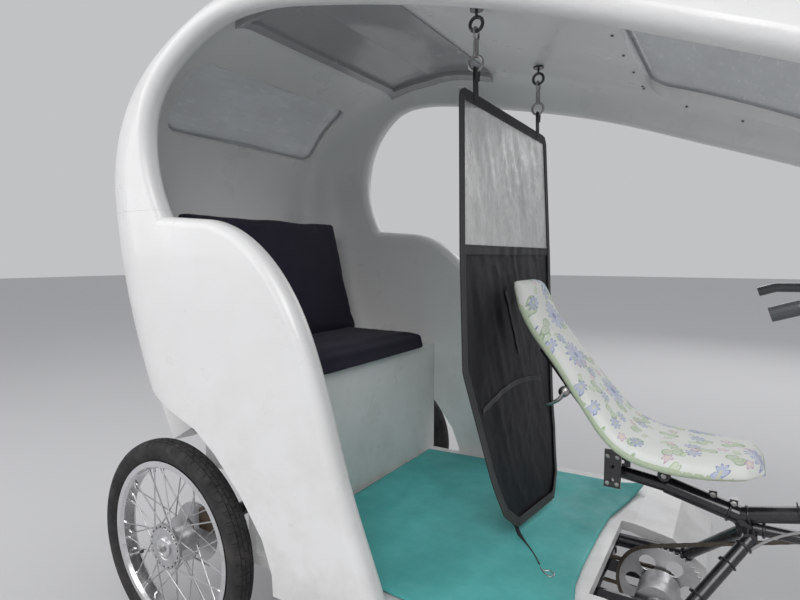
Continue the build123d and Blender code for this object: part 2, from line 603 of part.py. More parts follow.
head_tube = rod(steer_point(330), steer_point(470), 24)
head_bore = rod(steer_point(300), steer_point(500), STEERER_RADIUS + RUNNING)
with BuildPart() as main_frame:
    add(head_tube)
    add(boom)
    add(seat_tube)
    add(seat_post)
    add(block(900, POST_END, -30, 30, 400, 540), mode=Mode.SUBTRACT)
    add(joint_gusset)
    add(bracket_strut)
    add(hanger_strut)
    add(disc_y(STAY_TOP[0], STAY_TOP[1], -STAY_TOP_Y - 10, STAY_TOP_Y + 10, STAY_RADIUS + 1))
    add(disc_y(BRACKET_X, BRACKET_Z, -BRACKET_HALF_LENGTH, BRACKET_HALF_LENGTH, 25))
    for boss_x, boss_z in ((1188, 481), (1228, 470)):
        add(block(boss_x - 8, boss_x + 8, -8, 8, boss_z - 28, boss_z + 8))
    for side in (-1, 1):
        stay_top = (at(STAY_TOP[0]), side * STAY_TOP_Y, STAY_TOP[1])
        add(rod(stay_top, (at(STAY_FOOT_X), side * BEAM_Y, BEAM_Z), STAY_RADIUS))
        beam_room = rod(
            (at(STAY_FOOT_X - 100), side * BEAM_Y, BEAM_Z), (at(BEAM_FRONT + 20), side * BEAM_Y, BEAM_Z), BEAM_RADIUS + SEAM
        )
        add(beam_room, mode=Mode.SUBTRACT)
    add(head_bore, mode=Mode.SUBTRACT)
    add(disc_y(BRACKET_X, BRACKET_Z, -40, 40, 10 + RUNNING), mode=Mode.SUBTRACT)
main_frame.part.label = "main_frame"
export_step(main_frame.part, "parts/main_frame.step")

# Floor frame: beams with their cross tubes, plates to the axle housing and the arms that hold the gear hub
with BuildPart() as floor_frame:
    for side in (-1, 1):
        add(rod((at(BEAM_REAR), side * BEAM_Y, BEAM_Z), (at(BEAM_FRONT), side * BEAM_Y, BEAM_Z), BEAM_RADIUS))
        add(block(-60, 60, side * BEAM_Y - 5, side * BEAM_Y + 5, BEAM_Z, AXLE_Z + 60))
        cradle_y = side * CRADLE_Y
        add(block(945, 1112, cradle_y - CRADLE_THICKNESS / 2, cradle_y + CRADLE_THICKNESS / 2, 196, 228))
    for cross_x in (151, 560, 950):
        add(disc_y(cross_x, CROSS_Z, -BEAM_Y, BEAM_Y, CROSS_RADIUS))
    add(disc_y(0, AXLE_Z, -300, 300, HOUSING_RADIUS + SEAM), mode=Mode.SUBTRACT)
    add(disc_y(GEAR_HUB_X, GEAR_HUB_Z, -110, 110, GEAR_HUB_AXLE_RADIUS + RUNNING), mode=Mode.SUBTRACT)
floor_frame.part.label = "floor_frame"
export_step(floor_frame.part, "parts/floor_frame.step")

# Gear hub that carries the drive from the front chain to the rear chain
with BuildPart() as gear_hub:
    add(disc_y(GEAR_HUB_X, GEAR_HUB_Z, -60, 24, GEAR_HUB_RADIUS))
    add(disc_y(GEAR_HUB_X, GEAR_HUB_Z, -88, 88, GEAR_HUB_AXLE_RADIUS))
    add(disc_y(GEAR_HUB_X, GEAR_HUB_Z, -65, 62, 20))
    add(disc_y(GEAR_HUB_X, GEAR_HUB_Z, CHAIN_Y - 1.5, CHAIN_Y + 1.5, GEAR_SPROCKET_RADIUS))
    for index in range(6):
        angle = radians(60 * index)
        hole_x = GEAR_HUB_X + 60 * cos(angle)
        hole_z = GEAR_HUB_Z + 60 * sin(angle)
        add(disc_y(hole_x, hole_z, CHAIN_Y - 5, CHAIN_Y + 5, 19), mode=Mode.SUBTRACT)
    add(disc_y(GEAR_HUB_X, GEAR_HUB_Z, REAR_CHAIN_Y - 1.5, REAR_CHAIN_Y + 1.5, DRIVE_SPROCKET_RADIUS))
gear_hub.part.label = "gear_hub"
export_step(gear_hub.part, "parts/gear_hub.step")


def belt(circles, grow, y):
    """Face inside a loop that runs round circles: ahead, height, radius, +1 inside the loop or -1 outside."""
    tangents = []
    for first, second in zip(circles, circles[1:] + circles[:1]):
        gap_x = second[0] - first[0]
        gap_z = second[1] - first[1]
        r_first = first[3] * (first[2] + grow * first[3])
        r_second = second[3] * (second[2] + grow * second[3])
        turn = atan2(gap_z, gap_x) + acos((r_second - r_first) / hypot(gap_x, gap_z))
        normal = (cos(turn), sin(turn))
        tangents.append((
            (first[0] - r_first * normal[0], first[1] - r_first * normal[1]),
            (second[0] - r_second * normal[0], second[1] - r_second * normal[1]),
        ))
    edges = []
    for index, circle in enumerate(circles):
        start = tangents[index - 1][1]
        end = tangents[index][0]
        edges.append(Line((at(tangents[index - 1][0][0]), y, tangents[index - 1][0][1]), (at(start[0]), y, start[1])))
        first_angle = atan2(start[1] - circle[1], start[0] - circle[0])
        last_angle = atan2(end[1] - circle[1], end[0] - circle[0])
        sweep_angle = (last_angle - first_angle) % (2 * pi) if circle[3] > 0 else -((first_angle - last_angle) % (2 * pi))
        middle = first_angle + sweep_angle / 2
        radius = circle[2] + grow * circle[3]
        top = (at(circle[0] + radius * cos(middle)), y, circle[1] + radius * sin(middle))
        edges.append(ThreePointArc((at(start[0]), y, start[1]), top, (at(end[0]), y, end[1])))
    return make_face(Curve() + edges)


def chain_form(circles, y):
    """Closed chain as one plain band."""
    start = y - CHAIN_WIDTH / 2
    outer = extrude(belt(circles, CHAIN_HEIGHT / 2, start), amount=CHAIN_WIDTH, dir=(0, 1, 0))
    inner = extrude(belt(circles, -CHAIN_HEIGHT / 2, start - 1), amount=CHAIN_WIDTH + 2, dir=(0, 1, 0))
    return outer - inner


CHAIN_GAP = 1.0 + CHAIN_HEIGHT / 2
# ahead of the rear axle, height, radius of the loop's middle, side of the loop
FRONT_LOOP = [
    (GEAR_HUB_X, GEAR_HUB_Z, GEAR_SPROCKET_RADIUS + CHAIN_GAP, 1),
    (BRACKET_X, BRACKET_Z, CHAINRING_RADIUS + CHAIN_GAP, 1),
]
IDLER_LOOP = IDLER_RADIUS + CHAIN_GAP
REAR_LOOP = [
    (0.0, AXLE_Z, FINAL_SPROCKET_RADIUS + CHAIN_GAP, 1),
    (GEAR_HUB_X, GEAR_HUB_Z, DRIVE_SPROCKET_RADIUS + CHAIN_GAP, 1),
    (IDLER_X, IDLER_Z, IDLER_LOOP, -1),
]
front_band = chain_form(FRONT_LOOP, CHAIN_Y)
rear_band = chain_form(REAR_LOOP, REAR_CHAIN_Y)
with BuildPart() as front_chain:
    add(front_band)
front_chain.part.label = "front_chain"
export_step(front_chain.part, "parts/front_chain.step")
with BuildPart() as rear_chain:
    add(rear_band)
rear_chain.part.label = "rear_chain"
export_step(rear_chain.part, "parts/rear_chain.step")

# Idler that holds the upper run of the rear chain below the floor, on an arm from the cross tube
ARM_Y = REAR_CHAIN_Y + 12.0
idler_arm = side_prism(
    [(IDLER_X - 8, IDLER_Z + 8), (IDLER_X + 8, IDLER_Z + 8), (IDLER_X + 8, IDLER_Z - 6),
     (162, CROSS_Z + CROSS_RADIUS + SEAM), (140, CROSS_Z + CROSS_RADIUS + SEAM)],
    ARM_Y, ARM_Y + 6,
)
with BuildPart() as chain_idler:
    add(disc_y(IDLER_X, IDLER_Z, REAR_CHAIN_Y - 5, REAR_CHAIN_Y + 5, IDLER_RADIUS))
    add(disc_y(IDLER_X, IDLER_Z, REAR_CHAIN_Y - 5, ARM_Y + 1, 4))
    add(idler_arm)
chain_idler.part.label = "chain_idler"
export_step(chain_idler.part, "parts/chain_idler.step")

# Steering: fork, steerer and the long handlebar in one turning body
BLADE_Y = 52.0
AXLE_FRONT = (at(FRONT_WHEEL_X), 0, FRONT_TYRE_RADIUS)
BAR_RADIUS = 12.0
BAR_BORE = 9.8
# ahead, distance from the middle, height
BAR_SIDE = [(1262, 341, 915), (1300, 341, 928), (1600, 290, 935), (1790, 200, 948), (1890, 60, 969)]
bar_points = [(at(x), -y, z) for x, y, z in BAR_SIDE] + [(at(x), y, z) for x, y, z in reversed(BAR_SIDE)]
blades = [
    tube([steer_point(318, side * BLADE_Y), steer_point(110, side * BLADE_Y, 2),
          (AXLE_FRONT[0], side * BLADE_Y, AXLE_FRONT[2])], 13, 60)
    for side in (-1, 1)
]
bar = tube(bar_points, BAR_RADIUS, 18)
crown_plane = Plane(origin=steer_point(305), x_dir=(0, 1, 0), z_dir=STEER_UP)
axle_bore = rod((AXLE_FRONT[0], -90, AXLE_FRONT[2]), (AXLE_FRONT[0], 90, AXLE_FRONT[2]), FRONT_AXLE_RADIUS + RUNNING)
with BuildPart() as fork:
    add(rod(steer_point(300), steer_point(768), STEERER_RADIUS))
    with BuildSketch(crown_plane):
        RectangleRounded(2 * BLADE_Y + 36, 40, 14)
    extrude(amount=20)
    for blade in blades:
        add(blade)
    for side in (-1, 1):
        end_y = sorted([side * (BLADE_Y - 6), side * (BLADE_Y + 6)])
        add(rod((AXLE_FRONT[0], end_y[0], AXLE_FRONT[2]), (AXLE_FRONT[0], end_y[1], AXLE_FRONT[2]), 17))
    add(axle_bore, mode=Mode.SUBTRACT)
fork.part.label = "fork"
export_step(fork.part, "parts/fork.step")
bar_end = Vector(*bar_points[0])
bore_end = bar_end + (Vector(*bar_points[1]) - bar_end) * 0.9
with BuildPart() as handlebar:
    add(bar)
    add(rod(steer_point(735), steer_point(785), 25))
    add(rod(steer_point(700), steer_point(769), STEERER_RADIUS + SEAM), mode=Mode.SUBTRACT)
    for side in (-1, 1):
        add(rod((bar_end.X, -side * bar_end.Y, bar_end.Z), (bore_end.X, -side * bore_end.Y, bore_end.Z), BAR_BORE), mode=Mode.SUBTRACT)
handlebar.part.label = "handlebar"
export_step(handlebar.part, "parts/handlebar.step")

# Crankset and pedals, cranks level
CRANK_THICKNESS = 12.0
PEDAL_AXLE_RADIUS = 5.0
with BuildPart() as crankset:
    add(disc_y(BRACKET_X, BRACKET_Z, -CRANK_Y, CRANK_Y, 10))
    add(disc_y(BRACKET_X, BRACKET_Z, CHAIN_Y - 2, CHAIN_Y + 2, CHAINRING_RADIUS))
    add(disc_y(BRACKET_X, BRACKET_Z, BRACKET_HALF_LENGTH + 1, CHAIN_Y + 12, 17))
    for side, reach in ((-1, 1), (1, -1)):
        near = min(side * (CRANK_Y - CRANK_THICKNESS / 2), side * (CRANK_Y + CRANK_THICKNESS / 2))
        far = near + CRANK_THICKNESS
        end = BRACKET_X + reach * CRANK_LENGTH
        add(block(min(BRACKET_X, end), max(BRACKET_X, end), near, far, BRACKET_Z - 10, BRACKET_Z + 10))
        add(disc_y(BRACKET_X, BRACKET_Z, near, far, 18))
        add(disc_y(end, BRACKET_Z, near, far, 13))
        add(disc_y(end, BRACKET_Z, near - 5, far + 5, PEDAL_AXLE_RADIUS + RUNNING), mode=Mode.SUBTRACT)
    for index in range(5):
        angle = radians(72 * index + 36)
        hole_x = BRACKET_X + 50 * cos(angle)
        hole_z = BRACKET_Z + 50 * sin(angle)
        add(disc_y(hole_x, hole_z, CHAIN_Y - 5, CHAIN_Y + 5, 19), mode=Mode.SUBTRACT)
crankset.part.label = "crankset"
export_step(crankset.part, "parts/crankset.step")
for name, side, reach in (("right", -1, 1), ("left", 1, -1)):
    pedal_x = BRACKET_X + reach * CRANK_LENGTH
    inner_y = side * (CRANK_Y + CRANK_THICKNESS / 2 + 6)
    outer_y = side * (CRANK_Y + CRANK_THICKNESS / 2 + 96)
    with BuildPart() as pedal:
        body_y = sorted([inner_y, outer_y])
        add(block(pedal_x - 38, pedal_x + 38, body_y[0], body_y[1], BRACKET_Z - 10, BRACKET_Z + 10))
        window_y = sorted([inner_y + side * 14, outer_y - side * 12])
        for window_x in (pedal_x - 20, pedal_x + 20):
            window = block(window_x - 9, window_x + 9, window_y[0], window_y[1], BRACKET_Z - 20, BRACKET_Z + 20)
            add(window, mode=Mode.SUBTRACT)
        add(disc_y(pedal_x, BRACKET_Z, side * (CRANK_Y - 8), outer_y, PEDAL_AXLE_RADIUS))
    pedal.part.label = "pedal_" + name
    export_step(pedal.part, "parts/pedal_" + name + ".step")
# Driver's seat: curved shell with a pad over it, both cut to one outline
# ahead, height along the line between pad and shell
SEAT_CURVE = [
    (751, 947), (767, 899.5), (785, 852), (806, 825), (829, 800), (858, 766), (888, 726), (905, 699), (930, 674),
    (949, 649), (971, 621), (988, 600), (1012, 581), (1039, 571), (1070, 566), (1113, 562), (1157, 561), (1210, 565),
    (1259, 558), (1279, 571),
]
# place along a line 30 degrees below level, half width there
SEAT_OUTLINE = [
    (150, 0), (165, 40), (190, 72), (230, 88), (300, 90), (380, 92), (450, 106), (530, 125), (620, 132), (690, 130),
    (740, 118), (790, 92), (820, 50), (832, 0),
]
SEAT_PAD_THICKNESS = 32.0
SEAT_SHELL_THICKNESS = 8.0
SEAT_SLOPE = 30.0


def offset_curve(points, depth, y):
    """Points beside a curve in side view, above it for a positive depth."""
    row = []
    for index, point in enumerate(points):
        before = points[max(index - 1, 0)]
        after = points[min(index + 1, len(points) - 1)]
        length = hypot(after[0] - before[0], after[1] - before[1])
        across = ((before[1] - after[1]) / length * depth, (after[0] - before[0]) / length * depth)
        row.append((at(point[0] + across[0]), y, point[1] + across[1]))
    return row


def smooth_curve(points, share):
    """Every point moved part of the way to the middle of its two neighbours."""
    inner = [
        tuple(here[k] + ((before[k] + after[k]) / 2 - here[k]) * share for k in (0, 1))
        for before, here, after in zip(points, points[1:], points[2:])
    ]
    return [points[0]] + inner + [points[-1]]


SEAT_LINE = smooth_curve(smooth_curve(SEAT_CURVE, 0.5), 0.5)


def seat_strip(low, high):
    """Strip between two offsets from the seat's line."""
    rows = [offset_curve(SEAT_LINE, depth, -200) for depth in (low, high)]
    ends = [Line(rows[0][0], rows[1][0]), Line(rows[0][-1], rows[1][-1])]
    outline = make_face(Curve() + [Spline(*rows[0]), Spline(*rows[1])] + ends)
    return extrude(outline, amount=400, dir=(0, 1, 0))


def seat_cut(margin):
    """Prism of the seat's outline, square to its slope."""
    slope = radians(SEAT_SLOPE)
    plane = Plane(origin=(at(0), 0, 0), x_dir=(cos(slope), 0, -sin(slope)), z_dir=(sin(slope), 0, cos(slope)))
    ends = (SEAT_OUTLINE[0][0] + margin, SEAT_OUTLINE[-1][0] - margin)
    rows = [(min(max(t, ends[0]), ends[1]), max(half_width - margin, 0)) for t, half_width in SEAT_OUTLINE]
    ring = rows[:-1] + [(t, -half_width) for t, half_width in reversed(rows[1:])]
    return extrude(plane * make_face(Spline(*ring, periodic=True)), amount=1800)


seat_pad = seat_strip(SEAM / 2, SEAT_PAD_THICKNESS) & seat_cut(0)
seat_shell = seat_strip(-SEAM / 2 - SEAT_SHELL_THICKNESS, -SEAM / 2) & seat_cut(8)
with BuildPart() as driver_seat_shell:
    add(seat_shell)
driver_seat_shell.part.label = "driver_seat_shell"
export_step(driver_seat_shell.part, "parts/driver_seat_shell.step")
with BuildPart() as driver_seat_pad:
    add(seat_pad)
driver_seat_pad.part.label = "driver_seat_pad"
export_step(driver_seat_pad.part, "parts/driver_seat_pad.step")

# Seat bracket: two rails under the shell, plates down to the seat post, cross bars with knobs
RAIL_RADIUS = 8.5
RAIL_Y = 70.0
RAIL_FIRST = 4
RAIL_LAST = 12
rail_depth = -(SEAM + SEAT_SHELL_THICKNESS + SEAM + RAIL_RADIUS + 0.4)
rails = []
for side in (-1, 1):
    run = offset_curve(SEAT_LINE, rail_depth, side * RAIL_Y)[RAIL_FIRST:RAIL_LAST]
    run.append((at(1052), side * RAIL_Y, 549))
    run.append((at(1111), side * RAIL_Y, 541))
    rail_line = Spline(*run)
    rails.append(sweep(Plane(origin=rail_line @ 0, z_dir=rail_line % 0) * Circle(RAIL_RADIUS), path=rail_line))
with BuildPart() as seat_bracket:
    for rail in rails:
        add(rail)
    for side in (-1, 1):
        plate_y = sorted([side * 64, side * 70])
        add(block(968, 1005, plate_y[0], plate_y[1], 474, 562))
        add(disc_y(986, 492, side * 50, side * 80, 5), mode=Mode.SUBTRACT)
        add(disc_y(986, 524, side * 50, side * 80, 5), mode=Mode.SUBTRACT)
        add(disc_y(1097, 536, side * 88, side * 102, 11))
        add(disc_y(882, 694, side * 88, side * 102, 11))
    add(disc_y(1097, 536, -95, 95, 7))
    add(disc_y(882, 694, -95, 95, 7))
    add(block(POST_END - 12, POST_END - SEAM, -66, 66, 478, 540))
seat_bracket.part.label = "seat_bracket"
export_step(seat_bracket.part, "parts/seat_bracket.step")

# Curtain between driver and passengers: clear upper half, dark lower half, webbing border
CURTAIN_X = 697.0
CURTAIN_TOP = 1367.0
CURTAIN_LEAN = 2.2
CURTAIN_SEAM = -345.0
CURTAIN_THICKNESS = 2.0
WEBBING_THICKNESS = 2.5
WEBBING_WIDTH = 24.0
# distance from the middle, height above the curtain's top
CURTAIN_UPPER = [(302, 0), (320, CURTAIN_SEAM)]
CURTAIN_LOWER = [(320, CURTAIN_SEAM), (322, -607), (235, -717), (20, -1075)]
WEBBING_INNER = [(278, -24), (296, CURTAIN_SEAM), (298, -598), (220, -697), (12, -1048)]


def sheet_form(side_points, lift, thickness):
    """Flat sheet hung from the curtain's top, its outline given for one side."""
    lean = radians(CURTAIN_LEAN)
    plane = Plane(origin=(at(CURTAIN_X), 0, CURTAIN_TOP), x_dir=(0, 1, 0), z_dir=(cos(lean), 0, sin(lean)))
    ring = side_points + [(-y, z) for y, z in reversed(side_points)]
    return extrude(plane.offset(lift) * make_face(Polyline(*ring, close=True)), amount=thickness)


webbing_lift = CURTAIN_THICKNESS + SEAM
lower_sheet = sheet_form([(CURTAIN_LOWER[0][0], CURTAIN_SEAM - SEAM)] + CURTAIN_LOWER[1:], 0, CURTAIN_THICKNESS)
border = sheet_form(CURTAIN_UPPER + CURTAIN_LOWER[1:], webbing_lift, WEBBING_THICKNESS)
border = border - sheet_form(WEBBING_INNER, webbing_lift - 1, WEBBING_THICKNESS + 2)
upper_sheet = sheet_form(CURTAIN_UPPER, 0, CURTAIN_THICKNESS)
with BuildPart() as curtain_upper:
    add(upper_sheet)
curtain_upper.part.label = "curtain_upper"
export_step(curtain_upper.part, "parts/curtain_upper.step")
with BuildPart() as curtain_lower:
    add(lower_sheet)
curtain_lower.part.label = "curtain_lower"
export_step(curtain_lower.part, "parts/curtain_lower.step")

# Eyes in the ceiling and the snap hooks that carry the curtain
EYE_X = CURTAIN_X + webbing_lift + 0.4 + WEBBING_THICKNESS / 2
EYE_Y = 220.0
HOOK_FOOT = 1415.0
EYE_RING_Z = 1519.0


def ring_form(radius, thickness, centre, across):
    """Round ring of eight-sided section."""
    side = Vector(*across).cross(Vector(0, 0, 1)) if across != (0, 0, 1) else Vector(1, 0, 0)
    plane = Plane(origin=Vector(*centre) + side * radius, x_dir=side, z_dir=Vector(*across).cross(side))
    outline = plane * RegularPolygon(thickness, 8)
    return revolve(outline, axis=Axis(centre, across))


def ceiling_at(ahead, y):
    """Height of the ceiling ahead of CROWN_X."""
    probe = rod((at(ahead), y, 1300), (at(ahead), y, 1800), 0.5) & FRONT_INNER
    return probe.bounding_box().max.Z


for side in (-1, 1):
    strap_y = sorted([side * (EYE_Y - 13), side * (EYE_Y + 13)])
    strap_x = CURTAIN_X + webbing_lift + 0.4
    border += block(strap_x, strap_x + WEBBING_THICKNESS, strap_y[0], strap_y[1], CURTAIN_TOP - 10, HOOK_FOOT)
with BuildPart() as curtain_webbing:
    add(border)
curtain_webbing.part.label = "curtain_webbing"
export_step(curtain_webbing.part, "parts/curtain_webbing.step")
eye_ceiling = ceiling_at(EYE_X, EYE_Y)
for name, side in (("right", -1), ("left", 1)):
    eye_y = side * EYE_Y
    eye_x = at(EYE_X)
    eye_ring = ring_form(15, 4, (eye_x, eye_y, EYE_RING_Z), (0, 1, 0))
    hook_eye = ring_form(13, 3, (eye_x, eye_y, EYE_RING_Z - 20.7), (1, 0, 0))
    hook_ring = ring_form(16, 3.5, (eye_x, eye_y, HOOK_FOOT + 19.5), (0, 1, 0))
    with BuildPart() as roof_eye:
        add(rod((eye_x, eye_y, eye_ceiling - 10), (eye_x, eye_y, eye_ceiling - 5), 15))
        add(rod((eye_x, eye_y, EYE_RING_Z + 13), (eye_x, eye_y, eye_ceiling - 6), 3.2))
        add(eye_ring)
    roof_eye.part.label = "roof_eye_" + name
    export_step(roof_eye.part, "parts/roof_eye_" + name + ".step")
    with BuildPart() as snap_hook:
        add(hook_eye)
        add(rod((eye_x, eye_y, HOOK_FOOT + 33), (eye_x, eye_y, EYE_RING_Z - 34.5), 6))
        add(hook_ring)
    snap_hook.part.label = "snap_hook_" + name
    export_step(snap_hook.part, "parts/snap_hook_" + name + ".step")

# Battery box under the bench, one plain block for its mass, on the cross tube
with BuildPart() as battery_box:
    add(block(96, 206, -148, 40, CROSS_Z + CROSS_RADIUS + SEAM, 425))
battery_box.part.label = "battery_box"
export_step(battery_box.part, "parts/battery_box.step")

# Lamps
with BuildPart() as headlamp:
    add(rod((at(2545), 0, 494), (at(2622), 0, 494), 42))
    add(block(2560, 2600, -14, 14, 520, 541))
    add(block(2540, 2612, -88, 88, NOSE_FLOOR - 4.3, NOSE_FLOOR - SEAM))
headlamp.part.label = "headlamp"
export_step(headlamp.part, "parts/headlamp.step")
for name, side in (("right", -1), ("left", 1)):
    lamp_y = side * TAIL_LAMP_Y
    with BuildPart() as tail_lamp:
        add(rod((at(TAIL_LAMP_REAR), lamp_y, TAIL_LAMP_Z), (at(TAIL_LAMP_FRONT), lamp_y, TAIL_LAMP_Z), TAIL_LAMP_RADIUS))
    tail_lamp.part.label = "tail_lamp_" + name
    export_step(tail_lamp.part, "parts/tail_lamp_" + name + ".step")
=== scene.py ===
import math
import random

import bmesh
import bpy
from mathutils import Matrix, Vector, noise
from mathutils.bvhtree import BVHTree


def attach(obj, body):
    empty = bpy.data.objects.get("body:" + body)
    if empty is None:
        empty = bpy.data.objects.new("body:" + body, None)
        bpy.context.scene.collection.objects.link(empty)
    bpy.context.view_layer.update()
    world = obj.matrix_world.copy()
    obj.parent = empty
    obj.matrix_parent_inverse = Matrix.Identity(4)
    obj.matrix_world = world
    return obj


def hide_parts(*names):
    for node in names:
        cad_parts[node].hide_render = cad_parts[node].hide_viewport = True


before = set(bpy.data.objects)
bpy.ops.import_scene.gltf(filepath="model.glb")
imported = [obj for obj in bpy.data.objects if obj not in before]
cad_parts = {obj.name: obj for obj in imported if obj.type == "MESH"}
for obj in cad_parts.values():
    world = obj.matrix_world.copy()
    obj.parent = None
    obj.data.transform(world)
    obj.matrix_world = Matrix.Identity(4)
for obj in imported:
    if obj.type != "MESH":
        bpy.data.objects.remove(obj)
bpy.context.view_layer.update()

bl_info = {
    "name": "Cycle rickshaw finish",
    "version": (1, 1, 0),
    "blender": (4, 5, 0),
    "location": "View3D > Sidebar > Rickshaw",
    "description": "Dresses the packed cycle rickshaw: panels, panes, wheels, drive, cushions, curtain, seat cover",
    "category": "Object",
}

# Places are written in millimetres ahead of the rear axle, left of the middle and above the ground
REAR_AXLE_MM = -1146.73
SIDES = ((-1, "right"), (1, "left"))

# The photograph's camera: place, turn about the vertical, dip below level, focal length in image widths
CAMERA_PLACE = (0.07227, -1.384, 1.005)
CAMERA_TURN = 31.6
CAMERA_DIP = 4.4
CAMERA_FOCAL = 552.0 / 800.0


def spot(ahead, left, up):
    """Point in metres from a place in millimetres."""
    return Vector(((ahead + REAR_AXLE_MM) / 1000.0, left / 1000.0, up / 1000.0))


# Settings that a user would change
def colour(name, description, default):
    """Colour that a user can set."""
    return bpy.props.FloatVectorProperty(
        name=name, description=description, subtype="COLOR", size=3, min=0.0, max=1.0, default=default
    )


def share(name, description, default):
    """Number from 0 to 1 that a user can set."""
    return bpy.props.FloatProperty(
        name=name, description=description, subtype="FACTOR", min=0.0, max=1.0, default=default
    )


def length(name, description, default):
    """Length in metres that a user can set."""
    return bpy.props.FloatProperty(name=name, description=description, unit="LENGTH", min=0.0, default=default)


def amount(name, description, default):
    """Number from 0 up that a user can set."""
    return bpy.props.FloatProperty(name=name, description=description, min=0.0, default=default)


class PanelSettings(bpy.types.PropertyGroup):
    white: colour("Body white", "Colour of the moulded panels", (0.78, 0.78, 0.775))
    grime: colour("Grime", "Colour of the road dirt on the panels", (0.30, 0.27, 0.23))
    dirt: share("Dirt", "How much dirt lies on the panels", 0.45)
    lining: colour("Ceiling grey", "Colour of the ceiling panels", (0.36, 0.36, 0.37))
    pane: colour("Pane tint", "Tint of the windscreen and rear window", (0.50, 0.52, 0.55))
    seal_radius: length("Seal radius", "Half the width of the rubber seal round a pane", 0.0035)


class WheelSettings(bpy.types.PropertyGroup):
    rubber: colour("Tyre", "Colour of the tyres", (0.022, 0.022, 0.023))
    groove_depth: length("Groove depth", "Depth of the grooves between the tread ribs", 0.003)
    sipe_depth: length("Sipe depth", "Depth of the cuts across the ribs", 0.002)
    chrome: colour("Rim chrome", "Colour of the rims", (0.74, 0.74, 0.75))
    alloy: colour("Hub alloy", "Colour of hubs and spokes", (0.60, 0.60, 0.61))


class DriveSettings(bpy.types.PropertyGroup):
    pitch: length("Chain pitch", "Distance from one chain roller to the next", 0.0127)
    chain: colour("Chain", "Colour of the oiled chain", (0.14, 0.12, 0.10))
    paint: colour("Frame paint", "Colour of the frame", (0.010, 0.010, 0.013))
    bar: colour("Handlebar", "Colour of the handlebar", (0.05, 0.055, 0.06))


class ClothSettings(bpy.types.PropertyGroup):
    navy: colour("Bench cover", "Colour of the bench cushions", (0.012, 0.010, 0.024))
    cover: colour("Seat cover", "Ground colour of the driver's seat cover", (0.80, 0.82, 0.78))
    hem: colour("Cover hem", "Colour of the gathered hem", (0.50, 0.58, 0.42))
    curtain: colour("Curtain black", "Colour of the lower curtain", (0.007, 0.007, 0.010))
    mat: colour("Floor mat", "Colour of the rubber mat", (0.085, 0.47, 0.455))
    puff: length("Cushion puff", "How far a cushion's face may swell", 0.016)


class StageSettings(bpy.types.PropertyGroup):
    floor: colour("Floor", "Colour of the studio floor", (0.60, 0.60, 0.61))
    key_power: amount("Key lamp", "Power of the key lamp in watts", 135.0)
    sky: amount("Sky", "Strength of the even light", 0.62)


SETTINGS = {
    "rickshaw_panels": PanelSettings,
    "rickshaw_wheels": WheelSettings,
    "rickshaw_drive": DriveSettings,
    "rickshaw_cloth": ClothSettings,
    "rickshaw_stage": StageSettings,
}


